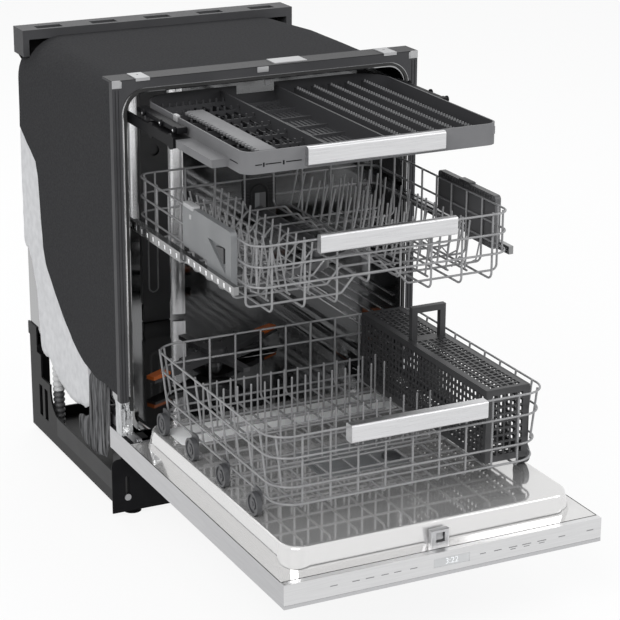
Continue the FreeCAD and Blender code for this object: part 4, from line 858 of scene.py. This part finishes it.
def rail_slots():
    """Lances pressed out along the drawn-out rails, in a brighter steel than the rails: a painted highlight.
    """
    for name, face, start, step, count, body in (("rail_slots_inner", 260.4, -404, 24, 17, "upper_rack"),
                                                 ("rail_slots_mid", 266.3, -198, 26, 9, "upper_slides")):
        lances = []
        for side in (-1, 1):
            near, far = sorted((side * face, side * (face - LANCE_RISE)))
            for i in range(count):
                y = start + step * i
                lances.append(block((near, y, LANCE_FOOT), (far, y + LANCE_LENGTH, LANCE_TOP), 0.1))
        # Painted highlight: the lances take the bright pin steel rather than the rails' darker steel
        finished(name, lances, pin_steel_and_highlight, body)


SLAT_PLACES = (-222, -210, -199, -142, -126, -106, -90)
PEG_PLACES = (64, 98, 132, 166, 200)
TOOTHED_BAR_PLACES = (48, 81, 115, 149, 183, 217)
PEG_STEP = 9.1


def tray_combs():
    """The cutlery band with its teeth, and the slats, toothed bars, black slot marks of painted shade and
    clip of the tray.
    """
    band = [block((-186, -354, 786), (-155, -58, 792), 1.2)]
    band += row_of(block((-191.5, -350, 787), (-185, -344.5, 792), 0.9), 24, 12.2)
    finished("tray_comb_band", band, tray_light, "third_rack")
    slats = [block((x - 1.6, -376, 770), (x + 1.6, 8, 779), 0.5) for x in SLAT_PLACES]
    slats += row_of(block((-228, -374, 769.6), (-82, -370, 774), 0.5), 20, 19)
    slats += row_of(block((34, -374, 769.6), (228, -370.5, 772.5), 0.5), 37, 10.4)
    finished("tray_slats", slats, black_and_slot_shade, "third_rack")
    bars = []
    for x in PEG_PLACES:
        bars += row_of(peg((x - 1.9, -376, 790), (x + 1.9, -372.6, 795)), 44, PEG_STEP)
    for x in TOOTHED_BAR_PLACES:
        bars.append(block((x - 1.2, -374, 772), (x + 1.2, 20, 781), 0.4))
        bars += row_of(peg((x - 1.6, -372, 780), (x + 1.6, -369, 784)), 42, PEG_STEP)
    finished("tray_toothed_bars", bars, tray_light, "third_rack")
    # Painted shade: thin black marks on the tray's walls stand for the shade in its slots
    slot_shades = [block((start, -399.2, 780), (end, -398.8, 781.8), 0.1)
             for start, end in ((-214, -202), (-196, -168), (-160, -132))]
    slot_shades += [block((x - 1.5, -399.2, 777), (x + 1.5, -398.8, 784), 0.1) for x in (-199, -164)]
    slot_shades.append(block((-234.2, -376, 780), (-233.8, -346, 781.8), 0.1))
    finished("tray_slot_shade", slot_shades, black_and_slot_shade, "third_rack")
    clip = block((-236.5, -134, 794), (-229, -118, 806), 1.4)
    finished("tray_clip", [clip], clip_grey_and_highlight, "third_rack")


ROLLER_RADIUS = 6.2
ROLLER_WIDTH = 4.5
ROLLER_PLACES = (-43, -121, -178)
ROLLER_HEIGHT = 793.5
ROLLER_SIDE = 259.8
ROLLER_EDGE = 1.2
PIN_SIDE = 262.2
PIN_HALF = 1.8
CARRIAGE_SIDES = (239.0, 257.5)


def slide_rollers():
    """The roller carriages on the tray's slides."""
    carriage, pins = [], []
    for side in (-1, 1):
        near, far = sorted(side * x for x in CARRIAGE_SIDES)
        carriage.append(block((near, -186, 788.4), (far, -8, 797), 1.2))
        carriage.append(block((near, -188, 788.2), (far, -172, 799), 1.6))
        for y in ROLLER_PLACES:
            fresh()
            bpy.ops.mesh.primitive_cylinder_add(vertices=32, radius=ROLLER_RADIUS / 1000,
                                                depth=ROLLER_WIDTH / 1000, rotation=(0, math.pi / 2, 0),
                                                location=in_frame(side * ROLLER_SIDE, y, ROLLER_HEIGHT))
            roller = bpy.context.object
            bpy.ops.object.transform_apply(location=True, rotation=True, scale=True)
            soften(ROLLER_EDGE)
            carriage.append(roller)
            face = side * PIN_SIDE
            pins.append(block((face - 0.5, y - PIN_HALF, ROLLER_HEIGHT - PIN_HALF),
                              (face + 0.5, y + PIN_HALF, ROLLER_HEIGHT + PIN_HALF), 0.4))
    finished("slide_carriages", carriage, black_plastic, "third_slides")
    finished("slide_pins", pins, pin_steel_and_highlight, "third_slides")


ARCH_RADIUS = 17
ARCH_STEPS = 20
ARCH_DEPTH = 46
ARCH_FOOT = 556
ARCH_SPRING = 596


def docking_plate():
    """The plate at the upper rack's rear that meets the water supply, and its port."""
    plate = [block((-34, 46.5, 552), (34, 51.5, 624), 1.5)]
    for start, end in ((-32, -19), (17, 32)):
        plate += [block((start, 45.4, 584 + 6 * i), (end, 47, 587 + 6 * i), 0.5) for i in range(6)]
    arch = [(ARCH_RADIUS, ARCH_DEPTH, ARCH_FOOT)]
    for i in range(ARCH_STEPS + 1):
        turn = math.pi * i / ARCH_STEPS
        arch.append((ARCH_RADIUS * math.cos(turn), ARCH_DEPTH, ARCH_SPRING + ARCH_RADIUS * math.sin(turn)))
    arch.append((-ARCH_RADIUS, ARCH_DEPTH, ARCH_FOOT))
    plate.append(bar(arch, 2.2))
    finished("docking_plate", plate, dock_plastic_and_shade, "upper_rack")
    port = block((-9, 44.8, 562), (13, 47, 598), 1.2)
    finished("docking_port", [port], adjuster_plastic, "upper_rack")


REFLECTION_PATCH_SIZE = (0.433, 0.083)
REFLECTION_PATCH_CORNER = 0.012
REFLECTION_PATCH_RISE = 0.0008
SEAM_FRONT = -655.2


def pan_details():
    """A raised white satin patch at the pan's rear, a painted reflection of bright light, and the seam round
    the strip.
    """
    fresh()
    # Painted reflection: a white patch where the pan shows a bright band of reflected light
    bpy.ops.mesh.primitive_plane_add(size=1, location=in_frame(-26.5, -113.5, 216.8))
    reflection_patch = bpy.context.object
    reflection_patch.scale = (*REFLECTION_PATCH_SIZE, 1)
    bpy.ops.object.transform_apply(location=True, rotation=True, scale=True)
    bpy.ops.object.mode_set(mode="EDIT")
    bpy.ops.mesh.select_all(action="SELECT")
    bpy.ops.mesh.bevel(offset=REFLECTION_PATCH_CORNER, segments=6, affect="VERTICES")
    bpy.ops.mesh.select_all(action="SELECT")
    bpy.ops.mesh.extrude_region_move(TRANSFORM_OT_translate={"value": (0, 0, REFLECTION_PATCH_RISE)})
    bpy.ops.mesh.inset(thickness=0.0012, depth=0.0003)
    bpy.ops.object.mode_set(mode="OBJECT")
    outward(reflection_patch)
    finished("pan_reflection_patch", [reflection_patch], reflection_satin, "door")
    seam = [bar([(-291.4, SEAM_FRONT, 182.0), (291.4, SEAM_FRONT, 182.0)], 0.7)]
    seam += [bar([(x, SEAM_FRONT, 181.5), (x, -40, 181.5)], 0.6) for x in (-292.0, 292.0)]
    finished("strip_seam", seam, black_and_slot_shade, "door")


REAR_WALL = 557.7
BEAD_STEP = 2
BEAD_TOP = 765
RIM_SIDE = 280.0
RIM_FRONT = -0.8
RIM_FOOT = 262
RIM_SPRING = 779
RIM_CORNER = 45
DUCT_FACE = 549.9
DUCT_RIB_TOP = 370
DUCT_RIB_FOOT = 268
DUCT_RIB_MIDDLE = -7
DUCT_RIB_BEND = 10
BEND_STEPS = 12


def tub_details():
    """Pressed beads and the rim of the tub, and the foot and rib of its water duct; the beads and rim take a
    brighter steel than the tub's own and the rib a light grey, as painted highlights.
    """
    columns = []
    for start, count, foot in ((34.5, 14, 200), (-55.0, 9, 410)):
        curve = [(start, REAR_WALL)]
        for i in range(count):
            x, y = curve[-1]
            slope = math.radians(28 - 25 * i / (count - 1))
            curve.append((x + BEAD_STEP, y - BEAD_STEP * math.tan(slope)))
        end = start + BEAD_STEP * count + 1
        columns.append(profiled(curve + [(end, curve[-1][1] + 0.6), (end, REAR_WALL)], foot, BEAD_TOP))
    # Painted highlight: the beads and the rim take the bright pin steel rather than the tub's darker steel
    finished("wall_bead", columns, pin_steel_and_highlight, "cabinet", 20)
    beads = [bar([(side * 270, 26, z), (side * 270, 528, z)], 2.2)
             for side in (-1, 1) for z in range(268, 369, 20)]
    finished("side_beads", beads, pin_steel_and_highlight, "cabinet")
    left = [(-RIM_SIDE, RIM_FRONT, RIM_FOOT)]
    for i in range(BEND_STEPS + 1):
        turn = math.pi / 2 * i / BEND_STEPS
        inward = RIM_CORNER * (1 - math.cos(turn))
        rise = RIM_CORNER * math.sin(turn)
        left.append((-RIM_SIDE + inward, RIM_FRONT, RIM_SPRING + rise))
    rim = bar(left + [(-x, y, z) for x, y, z in reversed(left)], 1.9)
    finished("tub_rim", [rim], pin_steel_and_highlight, "cabinet")
    duct_foot = block((-29.5, 550.4, 193), (29.5, 557.6, 230), 1.5)
    finished("duct_foot", [duct_foot], arm_plastic, "cabinet")
    path = [(DUCT_RIB_MIDDLE - DUCT_RIB_BEND, DUCT_FACE, DUCT_RIB_TOP)]
    for i in range(BEND_STEPS + 1):
        turn = math.pi * i / BEND_STEPS
        x = DUCT_RIB_MIDDLE - DUCT_RIB_BEND * math.cos(turn)
        path.append((x, DUCT_FACE, DUCT_RIB_FOOT - DUCT_RIB_BEND * math.sin(turn)))
    path.append((DUCT_RIB_MIDDLE + DUCT_RIB_BEND, DUCT_FACE, DUCT_RIB_TOP))
    # Painted highlight: the duct's pressed rib is drawn light grey against the dark duct for its lit edge
    finished("duct_rib", [bar(path, 1.7)], clip_grey_and_highlight, "cabinet")


def adjuster_details():
    """Grip clips and ribs on the two height adjusters."""
    left = [block((-253.4, -236, 667), (-239, -196, 675), 1.6),
            block((-252.2, -226, 650), (-250, -218, 658), 1.0)]
    finished("adjuster_clip_left", left, clip_grey_and_highlight, "upper_rack")
    ribs = row_of(block((238.6, -372, 663), (240.4, -368, 669), 0.5), 21, 8.4)
    ribs.append(block((239, -300, 668), (252, -262, 674), 1.6))
    finished("adjuster_ribs_right", ribs, basket_plastic, "upper_rack")


def frame_clips():
    """Light clips at the top of the front frame."""
    clips = [block((-298.9, -1.2, 829), (-281, 3, 841), 1.2),
             block((281, -1.2, 829), (298.9, 3, 841), 1.2),
             block((-24, -1.0, 832), (-2, 3, 842), 1.0)]
    finished("frame_clips", clips, clip_grey_and_highlight, "cabinet")


# The lower edge of the dark sheets of painted shade: how far out, and how high
SHADE_SHEET_FOOT = [(283.5, 788), (273, 770), (255, 776), (230, 792), (195, 806)]
SHADE_SHEET_TOP = 822
SHADE_SHEET_DEPTH = 545
SHADE_SHEET_THICKNESS = 0.0025


def crossbar_shade_sheets():
    """Dark sheets at the two ends of the rear crossbar, painted shade in the gaps at the blanket's rear
    corners.
    """
    shade_sheets = []
    for side in (-1, 1):
        # Painted shade: a dark sheet closes the gap between the blanket's rounded rear corner and the
        # crossbar's end
        rows = [[(side * x, SHADE_SHEET_DEPTH, foot), (side * x, SHADE_SHEET_DEPTH, SHADE_SHEET_TOP)] for x, foot in SHADE_SHEET_FOOT]
        shade_sheet = surface("shade_sheet", rows, dock_plastic_and_shade)
        outward(shade_sheet)
        thicken(shade_sheet, SHADE_SHEET_THICKNESS)
        shade_sheets.append(shade_sheet)
    finished("crossbar_shade_sheets", shade_sheets, dock_plastic_and_shade, "cabinet")


rack_tines()
strip_marks()
foil_gussets()
rail_slots()
tray_combs()
slide_rollers()
docking_plate()
pan_details()
tub_details()
adjuster_details()
frame_clips()
crossbar_shade_sheets()


# Studio


PAPER_GLOW = 0.88
ROOM_LIGHT = 0.55
FLOOR_SIZE = 30


def paper_floor():
    """A white floor that stays bright to the camera and in mirrors, and still takes shadows."""
    bpy.ops.mesh.primitive_plane_add(size=FLOOR_SIZE, location=(0, 0, 0))
    floor = bpy.context.object
    floor.name = "studio_floor"
    material = new_finish("studio_paper", (0.94, 0.94, 0.94), 0.9)
    tree = material.node_tree
    path = tree.nodes.new("ShaderNodeLightPath")
    seen = reckon(tree, "MAXIMUM", path.outputs["Is Camera Ray"], path.outputs["Is Glossy Ray"])
    glow = tree.nodes.new("ShaderNodeEmission")
    glow.inputs["Strength"].default_value = 1.0
    mix = tree.nodes.new("ShaderNodeMixShader")
    tree.links.new(reckon(tree, "MULTIPLY", seen, PAPER_GLOW), mix.inputs["Fac"])
    tree.links.new(shader_of(material).outputs["BSDF"], mix.inputs[1])
    tree.links.new(glow.outputs["Emission"], mix.inputs[2])
    tree.links.new(mix.outputs["Shader"], tree.nodes["Material Output"].inputs["Surface"])
    floor.data.materials.append(material)


def white_surroundings():
    """A white backdrop for the camera and mirrors, with a softer light from it on the part."""
    world = bpy.data.worlds.new("studio")
    bpy.context.scene.world = world
    world.use_nodes = True
    tree = world.node_tree
    tree.nodes.clear()
    path = tree.nodes.new("ShaderNodeLightPath")
    seen = reckon(tree, "MAXIMUM", path.outputs["Is Camera Ray"], path.outputs["Is Glossy Ray"])
    seen = reckon(tree, "MAXIMUM", seen, path.outputs["Is Transmission Ray"])
    soft = tree.nodes.new("ShaderNodeBackground")
    soft.inputs["Color"].default_value = (0.97, 0.985, 1.0, 1)
    soft.inputs["Strength"].default_value = ROOM_LIGHT
    paper = tree.nodes.new("ShaderNodeBackground")
    paper.inputs["Color"].default_value = (1, 1, 1, 1)
    paper.inputs["Strength"].default_value = 1.0
    mix = tree.nodes.new("ShaderNodeMixShader")
    out = tree.nodes.new("ShaderNodeOutputWorld")
    tree.links.new(seen, mix.inputs["Fac"])
    tree.links.new(soft.outputs[0], mix.inputs[1])
    tree.links.new(paper.outputs[0], mix.inputs[2])
    tree.links.new(mix.outputs[0], out.inputs["Surface"])


def soft_box(name, place, aim, size, power):
    """A large soft lamp, aimed at a place."""
    lamp = bpy.data.lights.new(name, "AREA")
    lamp.shape = "RECTANGLE"
    lamp.size, lamp.size_y = size
    lamp.energy = power
    obj = bpy.data.objects.new(name, lamp)
    bpy.context.scene.collection.objects.link(obj)
    obj.location = place
    obj.rotation_euler = (Vector(aim) - Vector(place)).to_track_quat("-Z", "Y").to_euler()


# The photograph's camera: its lens in millimetres, its place in metres, its direction and its tilt in degrees
PHOTO_LENS = 125.55
PHOTO_PLACE = (-1.6060, -3.3547, 1.6669)
PHOTO_DIRECTION = (0.4205, 0.8481, -0.3223)
PHOTO_TILT = 0.21


def photo_camera():
    """The camera that was solved from the photograph."""
    view = bpy.data.cameras.new("photo_camera")
    view.sensor_width = 36.0
    view.lens = PHOTO_LENS
    view.clip_end = 100
    camera = bpy.data.objects.new("photo_camera", view)
    bpy.context.scene.collection.objects.link(camera)
    forward = Vector(PHOTO_DIRECTION).normalized()
    level = forward.cross(Vector((0, 0, 1))).normalized()
    plumb = level.cross(forward)
    tilt = math.radians(PHOTO_TILT)
    picture_right = level * math.cos(tilt) + plumb * math.sin(tilt)
    picture_up = plumb * math.cos(tilt) - level * math.sin(tilt)
    turn = Matrix((picture_right, picture_up, -forward)).transposed().to_4x4()
    camera.matrix_world = Matrix.Translation(PHOTO_PLACE) @ turn
    bpy.context.scene.camera = camera


paper_floor()
white_surroundings()
soft_box("key", (-2.6, -2.6, 3.2), (0, 0, 0.4), (2.2, 2.2), 95)
soft_box("fill", (2.8, -2.4, 2.2), (0, 0, 0.4), (2.0, 2.0), 45)
soft_box("rear", (0.4, 2.8, 3.0), (0, 0, 0.5), (2.4, 1.6), 40)
photo_camera()
bpy.context.scene.view_settings.view_transform = "Standard"
